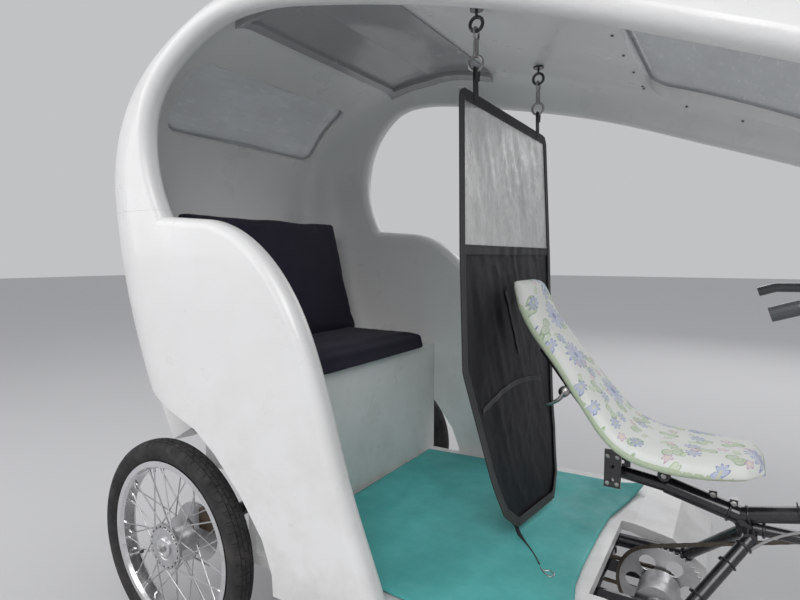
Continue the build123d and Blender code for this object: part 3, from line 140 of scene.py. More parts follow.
# Materials
class Finish:
    """A principled material and short ways to add nodes to it."""

    def __init__(self, name, rough=0.5, metal=0.0, coat=0.0, sheen=0.0, specular=0.5, alpha=1.0):
        self.material = bpy.data.materials.new(name)
        self.material.use_nodes = True
        self.tree = self.material.node_tree
        self.shader = self.tree.nodes["Principled BSDF"]
        for socket, value in (
            ("Roughness", rough), ("Metallic", metal), ("Coat Weight", coat), ("Sheen Weight", sheen),
            ("Specular IOR Level", specular), ("Alpha", alpha),
        ):
            self.shader.inputs[socket].default_value = value
        self.place = self.tree.nodes.new("ShaderNodeTexCoord").outputs["Object"]

    def put(self, value, socket):
        """Links a socket, or sets a number or colour."""
        if isinstance(value, bpy.types.NodeSocket):
            self.tree.links.new(value, socket)
        elif isinstance(value, (tuple, list)) and len(value) == 3 and socket.type == "RGBA":
            socket.default_value = (*value, 1.0)
        else:
            socket.default_value = value

    def node(self, kind, inputs=(), **settings):
        made = self.tree.nodes.new(kind)
        for key, value in settings.items():
            setattr(made, key, value)
        for key, value in dict(inputs).items():
            self.put(value, made.inputs[key])
        return made

    def sum(self, operation, a, b=0.0, c=0.0):
        return self.node("ShaderNodeMath", {0: a, 1: b, 2: c}, operation=operation).outputs[0]

    def times(self, a, b):
        return self.sum("MULTIPLY", a, b)

    def vector(self, operation, inputs):
        return self.node("ShaderNodeVectorMath", inputs, operation=operation).outputs[0]

    def split(self):
        """The three parts of the place on the object."""
        return self.node("ShaderNodeSeparateXYZ", {0: self.place}).outputs

    def noise(self, scale, detail=3.0, rough=0.5, place=None, distortion=0.0):
        inputs = {
            "Vector": place or self.place, "Scale": scale, "Detail": detail,
            "Roughness": rough, "Distortion": distortion,
        }
        return self.node("ShaderNodeTexNoise", inputs).outputs["Fac"]

    def stretched(self, scale, turn=(0.0, 0.0, 0.0)):
        """The place on the object, scaled and turned."""
        return self.node("ShaderNodeMapping", {"Vector": self.place, "Scale": scale, "Rotation": turn}).outputs[0]

    def ramp(self, fac, stops):
        """Colour between stops, each a place from 0 to 1 and a grey value or colour."""
        made = self.node("ShaderNodeValToRGB", {"Fac": fac})
        while len(made.color_ramp.elements) < len(stops):
            made.color_ramp.elements.new(0.5)
        for element, (place, value) in zip(made.color_ramp.elements, stops):
            element.position = place
            element.color = (value, value, value, 1.0) if isinstance(value, float) else (*value, 1.0)
        return made.outputs["Color"]

    def mask(self, low, high, *texture):
        """0 where a noise is under the lower value, 1 over the upper one; texture is what noise takes."""
        return self.ramp(self.noise(*texture), [(low, 0.0), (high, 1.0)])

    def uneven(self, low, high, *texture):
        """Roughness that follows a noise between two stops, each a place and a value."""
        self.roughness(self.ramp(self.noise(*texture), [low, high]))

    def blend(self, fac, a, b):
        return self.node("ShaderNodeMix", {0: fac, 6: a, 7: b}, data_type="RGBA").outputs[2]

    def paint(self, value):
        self.put(value, self.shader.inputs["Base Color"])

    def roughness(self, value):
        self.put(value, self.shader.inputs["Roughness"])

    def bump(self, height, distance=0.001, strength=0.3):
        made = self.node("ShaderNodeBump", {"Strength": strength, "Distance": distance, "Height": height})
        self.put(made.outputs["Normal"], self.shader.inputs["Normal"])


def darker(value, by):
    """Colour times a number, never below black."""
    return tuple(max(0.0, part * by) for part in value)


def lighter(value, by, plus=0.0):
    """Colour times a number and raised, never over white."""
    return tuple(min(1.0, part * by + plus) for part in value)


def height_share(finish, low, high):
    """0 at the lower height and 1 at the upper one, in metres."""
    return finish.node("ShaderNodeMapRange", {0: finish.split()[2], 1: low, 2: high}).outputs[0]


def moulded_white(name, white, grime, dirt, rough=0.3):
    """Gelcoat panel: slight orange peel, dust that thickens towards the ground, specks and fine scratches."""
    finish = Finish(name, rough=rough, coat=0.25, specular=0.5)
    tone = finish.blend(finish.noise(1.7, 4.0), darker(white, 0.95), white)
    low = finish.sum("SUBTRACT", 1.0, height_share(finish, 0.22, 0.75))
    clouds = finish.mask(0.42, 0.72, 6.0, 6.0, 0.62)
    dust = finish.times(finish.sum("MULTIPLY_ADD", low, 0.75, 0.12), clouds)
    tone = finish.blend(finish.times(dust, dirt), tone, grime)
    specks = finish.mask(0.73, 0.765, 160.0, 2.0, 0.7)
    sparse = finish.mask(0.5, 0.7, 4.0, 3.0)
    spots = finish.times(finish.times(specks, sparse), dirt)
    tone = finish.blend(spots, tone, darker(grime, 0.5))
    lines = finish.noise(60.0, 1.0, 0.5, finish.stretched((1.0, 1.0, 16.0), (0.5, 0.2, 0.9)))
    scratch = finish.times(finish.ramp(lines, [(0.66, 0.0), (0.69, 1.0)]), sparse)
    tone = finish.blend(finish.times(scratch, 0.35), tone, darker(white, 0.72))
    finish.paint(tone)
    finish.uneven((0.3, rough - 0.08), (0.75, rough + 0.25), 9.0, 5.0)
    finish.bump(finish.noise(220.0, 2.0), 0.0006, 0.12)
    return finish.material


def scuffed_pane(name, tint):
    """Clear plastic gone hazy, with wiping marks."""
    finish = Finish(name, rough=0.18, specular=0.5, alpha=0.62)
    smears = finish.noise(5.0, 5.0, 0.6, finish.stretched((1.0, 0.5, 2.0)))
    tone = finish.blend(smears, darker(tint, 0.7), lighter(tint, 1.35))
    marks = finish.mask(0.60, 0.68, 34.0, 3.0, 0.6, finish.stretched((4.0, 0.6, 1.0)))
    finish.paint(finish.blend(finish.times(marks, 0.5), tone, (0.78, 0.79, 0.80)))
    finish.roughness(finish.ramp(smears, [(0.3, 0.10), (0.8, 0.42)]))
    finish.bump(finish.noise(12.0, 3.0), 0.002, 0.1)
    return finish.material


def gloss_paint(name, tone, rough=0.2, chips=(0.16, 0.15, 0.15)):
    """Stove paint on steel: gloss, dust on top, a few chips."""
    finish = Finish(name, rough=rough, coat=0.5, specular=0.5)
    dust = finish.mask(0.45, 0.85, 14.0, 5.0, 0.65)
    base = finish.blend(finish.times(dust, 0.22), tone, (0.14, 0.13, 0.12))
    worn = finish.mask(0.74, 0.76, 95.0, 3.0, 0.7)
    finish.paint(finish.blend(worn, base, chips))
    finish.uneven((0.3, rough - 0.06), (0.8, rough + 0.25), 20.0, 4.0)
    finish.bump(finish.noise(150.0, 2.0), 0.0004, 0.15)
    return finish.material


def metal(name, tone, rough=0.25, spots=0.35, grime=(0.10, 0.08, 0.06)):
    """Bare or plated metal with dull spots and a film of dirt."""
    finish = Finish(name, rough=rough, metal=1.0)
    film = finish.mask(0.48, 0.82, 26.0, 6.0, 0.65)
    finish.paint(finish.blend(finish.times(film, spots), tone, grime))
    finish.uneven((0.3, max(0.05, rough - 0.08)), (0.8, rough + 0.3), 40.0, 5.0, 0.6)
    finish.bump(finish.noise(300.0, 2.0), 0.0003, 0.12)
    return finish.material


def tyre_rubber(name, tone):
    """Road rubber, brown with dust in patches, with a fine grain."""
    finish = Finish(name, rough=0.78, specular=0.3)
    dust = finish.mask(0.42, 0.8, 18.0, 6.0, 0.7)
    finish.paint(finish.blend(finish.times(dust, 0.5), tone, (0.105, 0.095, 0.085)))
    finish.uneven((0.3, 0.62), (0.7, 0.92), 60.0, 3.0)
    finish.bump(finish.noise(420.0, 2.0), 0.0006, 0.4)
    return finish.material


def plastic(name, tone, rough=0.45):
    """Moulded plastic or rubber with a fine grain and a film of dust."""
    finish = Finish(name, rough=rough, specular=0.45)
    film = finish.mask(0.45, 0.85, 11.0, 5.0, 0.6)
    finish.paint(finish.blend(finish.times(film, 0.25), tone, lighter(tone, 1.0, 0.10)))
    finish.uneven((0.3, rough - 0.08), (0.75, rough + 0.15), 30.0, 3.0)
    finish.bump(finish.noise(260.0, 2.0), 0.0005, 0.25)
    return finish.material


def woven(name, tone, threads=900.0, sheen=0.2, rough=0.85, wear=0.3, axes=(0, 2), gloss=0.2):
    """Cloth with two crossing threads; threads is their number in a metre, axes the ways that they run."""
    finish = Finish(name, rough=rough, sheen=sheen, specular=gloss)
    parts = finish.split()
    turns = threads * 6.283
    warp = finish.sum("SINE", finish.times(parts[axes[0]], turns))
    weft = finish.sum("SINE", finish.times(parts[axes[1]], turns))
    weave = finish.times(warp, weft)
    faded = finish.mask(0.4, 0.8, 7.0, 5.0, 0.6)
    base = finish.blend(finish.times(faded, wear), tone, lighter(tone, 1.9, 0.02))
    shade = finish.sum("MULTIPLY_ADD", weave, 0.12, 0.9)
    finish.paint(finish.vector("SCALE", {0: base, 3: shade}))
    finish.bump(finish.sum("ADD", finish.times(weave, 0.5), finish.noise(40.0, 4.0)), 0.0006, 0.35)
    return finish.material


def rubber_mat(name, tone):
    """Smooth mat with rubbed, dusty patches and footmarks."""
    finish = Finish(name, rough=0.6, specular=0.35)
    rubbed = finish.mask(0.38, 0.78, 5.0, 7.0, 0.68)
    base = finish.blend(rubbed, darker(tone, 0.78), lighter(tone, 1.08, 0.03))
    marks = finish.mask(0.60, 0.72, 38.0, 5.0, 0.7, finish.stretched((1.0, 2.2, 1.0), (0.0, 0.0, 0.6)))
    finish.paint(finish.blend(finish.times(marks, 0.22), base, (0.30, 0.32, 0.30)))
    finish.uneven((0.3, 0.45), (0.8, 0.8), 16.0, 4.0)
    finish.bump(finish.sum("ADD", finish.noise(520.0, 1.0), finish.noise(9.0, 4.0)), 0.0009, 0.3)
    return finish.material


def hazy_sheet(name):
    """Old clear vinyl: grey haze, fold marks and dirt."""
    finish = Finish(name, rough=0.22, specular=0.6, alpha=0.72)
    haze = finish.noise(9.0, 6.0, 0.66, finish.stretched((1.0, 1.6, 0.7)))
    tone = finish.ramp(haze, [(0.3, (0.30, 0.30, 0.29)), (0.55, (0.52, 0.52, 0.50)), (0.78, (0.80, 0.80, 0.78))])
    stains = finish.mask(0.62, 0.72, 70.0, 4.0, 0.7)
    finish.paint(finish.blend(finish.times(stains, 0.5), tone, (0.13, 0.12, 0.11)))
    finish.roughness(finish.ramp(haze, [(0.3, 0.14), (0.8, 0.45)]))
    creases = finish.noise(15.0, 5.0, 0.7, finish.stretched((1.0, 2.4, 0.9), (0.2, 0.0, 0.0)), 1.5)
    finish.bump(creases, 0.006, 0.5)
    return finish.material


def petals(finish, flat, scale, count, inner, reach, chance, seed):
    """Mask, outline, core and veins of flowers strewn at random: petal count, core radius, reach of the petals."""
    moved = finish.vector("ADD", {0: flat, 1: (seed, seed * 0.37, 0.0)})
    scaled = finish.vector("SCALE", {0: moved, 3: scale})
    spread = {"Vector": scaled, "Scale": 1.0, "Randomness": 0.75}
    cells = finish.node("ShaderNodeTexVoronoi", spread, voronoi_dimensions="2D").outputs
    away = finish.vector("SUBTRACT", {0: scaled, 1: cells["Position"]})
    parts = finish.node("ShaderNodeSeparateXYZ", {0: away}).outputs
    tint = finish.node("ShaderNodeSeparateColor", {0: cells["Color"]}).outputs
    angle = finish.sum("ADD", finish.sum("ARCTAN2", parts[1], parts[0]), finish.times(tint[1], 6.28))
    wave = finish.sum("ABSOLUTE", finish.sum("COSINE", finish.times(angle, count / 2.0)))
    edge = finish.sum("MULTIPLY_ADD", wave, reach, inner)
    inside = finish.sum("LESS_THAN", cells["Distance"], edge)
    kept = finish.sum("LESS_THAN", tint[0], chance)
    mask = finish.times(inside, kept)
    gap = finish.sum("ABSOLUTE", finish.sum("SUBTRACT", cells["Distance"], edge))
    line = finish.times(finish.sum("LESS_THAN", gap, 0.022), kept)
    core = finish.times(finish.sum("LESS_THAN", cells["Distance"], inner * 0.55), kept)
    ripple = finish.sum("ABSOLUTE", finish.sum("SINE", finish.times(angle, float(count))))
    veins = finish.sum("GREATER_THAN", ripple, 0.72)
    return mask, line, core, finish.times(mask, veins)


def printed_cover(name, ground):
    """Stretch cotton printed with scattered daisies, small blossoms and leaves."""
    finish = Finish(name, rough=0.8, sheen=0.15, specular=0.25)
    parts = finish.split()
    along = finish.sum("SUBTRACT", finish.times(parts[0], 0.94), finish.times(parts[2], 0.62))
    flat = finish.node("ShaderNodeCombineXYZ", {0: along, 1: parts[1]}).outputs[0]
    tone = finish.blend(finish.noise(5.0, 3.0), ground, darker(ground, 0.93))
    # scale, petals, core, reach, share kept, seed, colours of petals, outline and core
    layers = (
        (15.0, 2, 0.05, 0.24, 0.75, 3.1, (0.42, 0.53, 0.33), (0.25, 0.36, 0.20), (0.42, 0.53, 0.33)),
        (21.0, 5, 0.10, 0.12, 0.45, 7.7, (0.72, 0.50, 0.62), (0.50, 0.28, 0.42), (0.80, 0.74, 0.36)),
        (24.0, 2, 0.03, 0.20, 0.55, 9.3, (0.56, 0.66, 0.42), (0.30, 0.42, 0.24), (0.56, 0.66, 0.42)),
        (17.0, 8, 0.10, 0.16, 0.38, 1.9, (0.30, 0.36, 0.66), (0.14, 0.17, 0.42), (0.66, 0.66, 0.40)),
        (8.5, 14, 0.13, 0.20, 0.42, 5.2, (0.40, 0.45, 0.72), (0.20, 0.23, 0.50), (0.24, 0.26, 0.50)),
    )
    for scale, count, inner, reach, chance, seed, fill, outline, centre in layers:
        mask, line, core, veins = petals(finish, flat, scale, count, inner, reach, chance, seed)
        tone = finish.blend(finish.times(mask, 0.55), tone, fill)
        tone = finish.blend(finish.times(veins, 0.25), tone, ground)
        tone = finish.blend(finish.times(line, 0.65), tone, outline)
        tone = finish.blend(finish.times(core, 0.8), tone, centre)
    soil = finish.mask(0.5, 0.85, 8.0, 6.0, 0.7)
    finish.paint(finish.blend(finish.times(soil, 0.18), tone, (0.36, 0.33, 0.27)))
    threads = finish.sum("SINE", finish.times(along, 5200.0))
    crossing = finish.sum("SINE", finish.times(parts[1], 5200.0))
    wrinkles = finish.noise(22.0, 4.0, 0.6, finish.stretched((1.0, 3.0, 1.0)))
    weave = finish.times(finish.times(threads, crossing), 0.15)
    finish.bump(finish.sum("ADD", weave, wrinkles), 0.0014, 0.35)
    return finish.material


def lens_glass(name, tone):
    """Coloured lamp glass with fine level ribs."""
    finish = Finish(name, rough=0.12, specular=0.6, coat=0.6)
    ribs = finish.sum("SINE", finish.times(finish.split()[2], 1500.0))
    finish.paint(finish.blend(finish.sum("MULTIPLY_ADD", ribs, 0.25, 0.4), tone, darker(tone, 0.5)))
    finish.bump(ribs, 0.0012, 0.5)
    return finish.material


def coat(nodes, material):
    """Gives CAD nodes a material and smooth shading."""
    for name in nodes:
        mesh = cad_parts[name].data
        mesh.materials.clear()
        mesh.materials.append(material)
        for polygon in mesh.polygons:
            polygon.use_smooth = True


# Mesh building
WELD_DISTANCE = 1e-6
CREASE_ANGLE = 35.0
TAPE_CREASE_ANGLE = 50.0
TREAD_CREASE_ANGLE = 32.0


def piece(name, verts, faces, body, material, smooth=True, stands_for=()):
    """New piece of the part: it rides a body, has a slot and may stand for CAD nodes."""
    mesh = bpy.data.meshes.new(name)
    mesh.from_pydata([tuple(vert) for vert in verts], [], faces)
    mesh.validate()
    mesh.update()
    mesh.materials.append(material)
    for polygon in mesh.polygons:
        polygon.use_smooth = smooth
    made = bpy.data.objects.new(name, mesh)
    bpy.context.scene.collection.objects.link(made)
    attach(made, body)
    if stands_for:
        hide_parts(*stands_for)
    return made


def strip_faces(rows, columns, wrap_rows=False, wrap_columns=False):
    """Quads between the rows and columns of a grid of vertices."""
    faces = []
    for row in range(rows if wrap_rows else rows - 1):
        for column in range(columns if wrap_columns else columns - 1):
            after = (column + 1) % columns
            below = (row + 1) % rows * columns
            faces.append((row * columns + column, row * columns + after, below + after, below + column))
    return faces


def add_modifier(made, kind, **settings):
    """Modifier of a kind with its settings."""
    modifier = made.modifiers.new(kind.lower(), kind)
    for key, value in settings.items():
        setattr(modifier, key, value)
    return modifier


def shade_by_angle(made, degrees=CREASE_ANGLE):
    """Keeps creases sharp between smooth faces."""
    mesh = made.data
    built = bmesh.new()
    built.from_mesh(mesh)
    limit = math.radians(degrees)
    for edge in built.edges:
        edge.smooth = len(edge.link_faces) != 2 or edge.calc_face_angle(0.0) < limit
    built.to_mesh(mesh)
    built.free()


def frames_along(points, closed):
    """Two directions square to a run of points, turned as little as possible from one to the next."""
    count = len(points)
    ways = []
    for index in range(count):
        before = points[index - 1] if closed or index else points[index]
        after = points[(index + 1) % count] if closed or index < count - 1 else points[index]
        ways.append((after - before).normalized())
    side = ways[0].orthogonal().normalized()
    frames = []
    for way in ways:
        side = (side - way * side.dot(way)).normalized()
        frames.append((side, way.cross(side)))
    return frames


def pipe(name, points, radius, body, material, sides=10, closed=False, squash=1.0):
    """Round bar along a run of points, its ends closed."""
    verts = []
    for point, (across, up) in zip(points, frames_along(points, closed)):
        for step in range(sides):
            turn = math.tau * step / sides
            verts.append(point + across * radius * math.cos(turn) + up * radius * squash * math.sin(turn))
    faces = strip_faces(len(points), sides, closed, True)
    if not closed:
        last = (len(points) - 1) * sides
        faces += [tuple(range(sides))[::-1], tuple(range(last, last + sides))]
    return piece(name, verts, faces, body, material)


def curved(points, steps=8):
    """Smooth run through a few points."""
    ends = [points[0] * 2 - points[1]] + list(points) + [points[-1] * 2 - points[-2]]
    run = []
    for a, b, c, d in zip(ends, ends[1:], ends[2:], ends[3:]):
        for step in range(steps):
            t = step / steps
            bend = (2 * a - 5 * b + 4 * c - d) * t * t
            run.append(0.5 * (2 * b + (c - a) * t + bend + (3 * b - a - 3 * c + d) * t ** 3))
    return run + [points[-1]]


def turned(name, centre, profile, body, material, axis="Y", steps=64):
    """Ring or cap turned about an axis: profile of (along the axis, radius) in millimetres, closed on itself."""
    verts = []
    for step in range(steps):
        turn = math.tau * step / steps
        for along, radius in profile:
            a, b = radius * math.cos(turn), radius * math.sin(turn)
            offset = Vector((a, along, b)) if axis == "Y" else Vector((along, a, b))
            verts.append(centre + offset / 1000.0)
    made = piece(name, verts, strip_faces(steps, len(profile), True, True), body, material)
    tidy_normals(made)
    shade_by_angle(made)
    return made


def tidy_normals(made, weld=True):
    """Turns every face outward, after joining the vertices that lie on each other."""
    built = bmesh.new()
    built.from_mesh(made.data)
    if weld:
        bmesh.ops.remove_doubles(built, verts=built.verts, dist=WELD_DISTANCE)
    bmesh.ops.recalc_face_normals(built, faces=built.faces)
    built.to_mesh(made.data)
    built.free()


def pegs(name, rods, body, material, sides=6, dome=0.0):
    """Many short bars in one mesh: start, end, radius in metres, with an optional domed top."""
    verts, faces = [], []
    for start, end, radius in rods:
        way = (end - start).normalized()
        across = way.orthogonal().normalized()
        up = way.cross(across)
        levels = [(start, 1.0), (end, 1.0)] + ([(end + way * radius * dome, 0.6)] if dome else [])
        first = len(verts)
        for level, wide in levels:
            for step in range(sides):
                turn = math.tau * step / sides
                verts.append(level + (across * math.cos(turn) + up * math.sin(turn)) * radius * wide)
        rows = len(levels)
        faces += [tuple(first + index for index in face) for face in strip_faces(rows, sides, False, True)]
        last = first + (rows - 1) * sides
        faces += [tuple(range(first, first + sides))[::-1], tuple(range(last, last + sides))]
    made = piece(name, verts, faces, body, material, smooth=False)
    tidy_normals(made)
    return made


def tape(name, points, across, width, thickness, body, material):
    """Flat strap along a run of points; across is its width direction, one vector or one for each point."""
    verts = []
    ways = across if isinstance(across, list) else [across] * len(points)
    for index, (point, wide) in enumerate(zip(points, ways)):
        before, after = points[max(index - 1, 0)], points[min(index + 1, len(points) - 1)]
        way = (after - before).normalized()
        wide = (wide - way * wide.dot(way)).normalized()
        lift = way.cross(wide) * thickness / 2
        half = wide * width / 2
        verts += [point - half - lift, point + half - lift, point + half + lift, point - half + lift]
    last = (len(points) - 1) * 4
    faces = strip_faces(len(points), 4, False, True) + [(3, 2, 1, 0), (last, last + 1, last + 2, last + 3)]
    made = piece(name, verts, faces, body, material)
    tidy_normals(made)
    shade_by_angle(made, TAPE_CREASE_ANGLE)
    return made


def surface_probe(node):
    """Tree of a CAD node's faces, for setting small pieces on it."""
    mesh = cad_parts[node].data
    places = [vert.co.copy() for vert in mesh.vertices]
    return BVHTree.FromPolygons(places, [tuple(face.vertices) for face in mesh.polygons])


def settings(group):
    """The settings that a user sees in the panel."""
    return getattr(bpy.context.scene, group)


# Panels, panes and lamps
# one side of the windscreen as (ahead, distance from the middle)
SCREEN_OUTLINE = [(985, 372), (1335, 352), (1700, 300), (1900, 262)]
SCREEN_SEAL_INSET = 3.0
SCREEN_PROBE_INSET = 9.0
SCREEN_SEAL_GAP = 22.0
SCREW_OUTSET = 21.0
SCREW_EVERY = 6
# lower and upper edge of the rear window as (ahead, up)
WINDOW_LOW = (-249, 1376)
WINDOW_HIGH = (-68, 1550)
WINDOW_HALF_WIDTH = 330
WINDOW_SEAL_INSET = 7.0
WINDOW_SEAL_GAP = 16.0
CORNER = 45.0
# radians between the two ways from a point, over which it isn't a corner
STRAIGHT = 2.6
TAIL_LAMP = (-334, 330, 900)
HEADLAMP = (2622, 0, 494)
# profiles of lamp parts as (along the axis, radius)
TAIL_LENS = [
    (1, 0.3), (-5, 0.3), (-4.6, 9), (-3.8, 10), (-4.4, 18), (-3.4, 19), (-3.8, 27), (-2.6, 28), (-2.2, 32), (1, 33),
]
TAIL_BEZEL = [(3, 37.5), (-4, 37.5), (-6, 36), (-6, 33.5), (-3, 32.5), (3, 32.5)]
HEADLAMP_GLASS = [(0.6, 0.3), (6, 0.3), (5.2, 12), (3.2, 24), (1.2, 34), (-2, 35.5)]
HEADLAMP_RING = [(-4, 43.4), (2, 43.2), (3.6, 41.0), (3.4, 37.0), (0.6, 35.2), (-4, 36.0)]


def rounded_ring(corners, radius, steps=8):
    """Closed run of flat points with every corner rounded."""
    run = []
    for index, corner in enumerate(corners):
        corner = Vector(corner)
        to_last = (Vector(corners[index - 1]) - corner).normalized()
        to_next = (Vector(corners[(index + 1) % len(corners)]) - corner).normalized()
        if to_last.angle(to_next) > STRAIGHT:
            run.append(corner)
            continue
        reach = radius / math.tan(to_last.angle(to_next) / 2)
        first, last = corner + to_last * reach, corner + to_next * reach
        for step in range(steps + 1):
            t = step / steps
            run.append(first * (1 - t) ** 2 + corner * 2 * t * (1 - t) + last * t ** 2)
    return run


def resampled(points, gap, closed=True):
    """The same run with points at even distances."""
    run = points + points[:1] if closed else points
    lengths = [0.0]
    for a, b in zip(run, run[1:]):
        lengths.append(lengths[-1] + (b - a).length)
    count = max(3, round(lengths[-1] / gap))
    made, index = [], 0
    for step in range(count + (0 if closed else 1)):
        want = lengths[-1] * step / count
        while index < len(run) - 2 and lengths[index + 1] < want:
            index += 1
        part = (want - lengths[index]) / max(1e-9, lengths[index + 1] - lengths[index])
        made.append(run[index].lerp(run[index + 1], part))
    return made


def build_screen_trim(panel, rubber, screw):
    """Rubber seal and small screws round the windscreen, found by looking up at the roof."""
    ring = SCREEN_OUTLINE + [(x, -y) for x, y in reversed(SCREEN_OUTLINE)]
    pane = surface_probe("windscreen")
    roof = surface_probe("front_canopy")
    flat = resampled(rounded_ring(ring, CORNER), SCREEN_SEAL_GAP)
    middle = Vector((sum(p.x for p in flat) / len(flat), 0.0))
    seal, screws = [], []
    for index, point in enumerate(flat):
        inward = (middle - point).normalized()
        inner = point + inward * SCREEN_PROBE_INSET
        hit = pane.ray_cast(spot(inner.x, inner.y, 2000), Vector((0, 0, -1)))[0]
        if hit:
            seat = spot(point.x + inward.x * SCREEN_SEAL_INSET, point.y + inward.y * SCREEN_SEAL_INSET, 0)
            seal.append(Vector((seat.x, seat.y, hit.z + 0.002)))
        outer = point - inward * SCREW_OUTSET
        found = roof.ray_cast(spot(outer.x, outer.y, 700), Vector((0, 0, 1)))
        faces_down = found[0] and found[1].z < -0.6
        if index % SCREW_EVERY == 0 and faces_down:
            screws.append((found[0] + Vector((0, 0, 0.001)), found[0] + found[1] * 0.0022, 0.0036))
    pipe("windscreen_seal", seal, panel.seal_radius, "chassis", rubber, sides=8, closed=True)
    pegs("windscreen_screws", screws, "chassis", screw, sides=8, dome=0.3)


def build_window_seal(panel, rubber):
    """Rubber seal round the rear window, on the pane's outer face."""
    low, high = spot(WINDOW_LOW[0], 0, WINDOW_LOW[1]), spot(WINDOW_HIGH[0], 0, WINDOW_HIGH[1])
    slope = (high - low).normalized()
    outward = Vector((-slope.z, 0, slope.x))
    middle = (low + high) / 2
    half = (high - low).length * 500
    wide = WINDOW_HALF_WIDTH
    ring = [(-wide, -half), (wide, -half), (wide, half), (-wide, half)]
    pane = surface_probe("rear_window")
    seal = []
    for point in resampled(rounded_ring(ring, CORNER), WINDOW_SEAL_GAP):
        inward = point - point.normalized() * WINDOW_SEAL_INSET
        start = middle + Vector((0, inward.x / 1000, 0)) + slope * (inward.y / 1000) + outward * 0.3
        hit = pane.ray_cast(start, -outward)[0]
        if hit:
            seal.append(hit + outward * 0.001)
    pipe("rear_window_seal", seal, panel.seal_radius, "chassis", rubber, sides=8, closed=True)


def build_lamps(red, black, chrome, clear):
    """Ringed red lenses in the tail and a glazed headlamp under the nose."""
    ahead, left, up = TAIL_LAMP
    for side, word in SIDES:
        centre = spot(ahead, side * left, up)
        turned("tail_lens_" + word, centre, TAIL_LENS, "chassis", red, axis="X", steps=48)
        turned("tail_bezel_" + word, centre, TAIL_BEZEL, "chassis", black, axis="X", steps=48)
    front = spot(*HEADLAMP)
    turned("headlamp_lens", front, HEADLAMP_GLASS, "chassis", clear, axis="X", steps=48)
    turned("headlamp_ring", front, HEADLAMP_RING, "chassis", chrome, axis="X", steps=48)


# Wheels
# name, body, ahead, left, up, tyre radius, tyre width, side that faces out
WHEELS = [
    ("rear_right", "rear_wheel_right", 0.0, -516.0, 270.0, 270.0, 60.0, -1),
    ("rear_left", "rear_wheel_left", 0.0, 516.0, 270.0, 270.0, 60.0, 1),
    ("front", "front_wheel", 2200.0, 0.0, 258.0, 258.0, 58.0, 0),
]
RIM_RADIUS = 218.0
TREAD_BLOCKS = 66
# edges of the grooves as distance from the middle of the tread, in shares of the half width
GROOVES = [(0.18, 0.25), (0.52, 0.59)]
# shares of a tread block where the level changes, and the cut there: 1 in the outer ribs, 2 in the inner one
BLOCK_STEPS = ((0.0, 0), (0.035, 1), (0.075, 1), (0.11, 0), (0.50, 0), (0.535, 2), (0.575, 2), (0.61, 0))
SPOKES_A_SIDE = 18
# share of the gap between two holes that each side is turned
SPOKE_STAGGER = 0.25
# degrees that a spoke leads or trails its hole, then distances in millimetres
SPOKE_LEAD = 44.0
FLANGE_HOLE_RADIUS = 52
FLANGE_FACE = 30
SPOKE_AT_HUB = 26
SPOKE_AT_RIM = 5
SPOKE_CROSSING = 1.9
RIM_SEAT_RADIUS = 198
VALVE_TURN = 205
HUB_CAP = [(-4, 24.6), (0.5, 24.6), (2.0, 23.0), (2.2, 18.0), (1.0, 17.0), (0.8, 0.3), (-4, 0.3)]


def tread_columns(radius, half, groove):
    """Half of a tyre section as (across, radius, rib number), rib -1 in a groove or on the sidewall."""
    depth = radius - RIM_RADIUS

    def top(across):
        return radius - depth * 0.3 * across ** 3

    columns = [(0.0, top(0), 0)]
    for number, (inner, outer) in enumerate(GROOVES):
        columns += [(inner, top(inner), number), (inner + 0.008, top(inner) - groove, -1)]
        columns += [(outer - 0.008, top(outer) - groove, -1), (outer, top(outer), number + 1)]
    columns += [(0.74, top(0.74), 2), (0.86, top(0.86), 2), (0.93, top(0.93), -1)]
    for across, share_down in (
        (0.985, 0.34), (1.0, 0.46), (0.985, 0.62), (0.93, 0.74), (0.90, 0.76), (0.80, 0.88), (0.68, 0.955),
    ):
        columns.append((across, radius - depth * share_down, -1))
    columns += [(0.6, RIM_RADIUS + 1, -1), (0.6, RIM_RADIUS - 9, -1)]
    return [(across * half, level, rib) for across, level, rib in columns]


def build_tyre(row, wheel, rubber):
    """Tyre with grooves round it and cuts across its ribs."""
    name, body, ahead, left, up, radius, width, _ = row
    half_section = tread_columns(radius, width / 2, wheel.groove_depth * 1000)
    sipe = wheel.sipe_depth * 1000
    section = [(-across, level, rib) for across, level, rib in half_section[:0:-1]] + half_section
    verts = []
    for block in range(TREAD_BLOCKS):
        for part, cut in BLOCK_STEPS:
            turn = math.tau * (block + part) / TREAD_BLOCKS
            for across, level, rib in section:
                lowered = (cut == 1 and rib in (0, 2)) or (cut == 2 and rib == 1)
                r = level - (sipe if lowered else 0.0)
                verts.append(spot(ahead + r * math.cos(turn), left + across, up + r * math.sin(turn)))
    faces = strip_faces(TREAD_BLOCKS * len(BLOCK_STEPS), len(section), True, True)
    made = piece(name + "_tyre_tread", verts, faces, body, rubber, stands_for=(name + "_tyre",))
    tidy_normals(made)
    shade_by_angle(made, TREAD_CREASE_ANGLE)


def spoke_ends(row):
    """Hole in the flange and seat in the rim of every spoke."""
    _, _, ahead, left, up, *_ = row
    for side in (-1, 1):
        for index in range(SPOKES_A_SIDE):
            start = math.radians(360 / SPOKES_A_SIDE * (index + SPOKE_STAGGER * side))
            end = start + math.radians(SPOKE_LEAD if index % 2 else -SPOKE_LEAD)
            lift = SPOKE_CROSSING if index % 2 else -SPOKE_CROSSING
            hole = spot(
                ahead + FLANGE_HOLE_RADIUS * math.cos(start), left + side * (SPOKE_AT_HUB + lift),
                up + FLANGE_HOLE_RADIUS * math.sin(start),
            )
            seat = spot(
                ahead + RIM_SEAT_RADIUS * math.cos(end), left + side * (SPOKE_AT_RIM + lift),
                up + RIM_SEAT_RADIUS * math.sin(end),
            )
            yield hole, seat, side


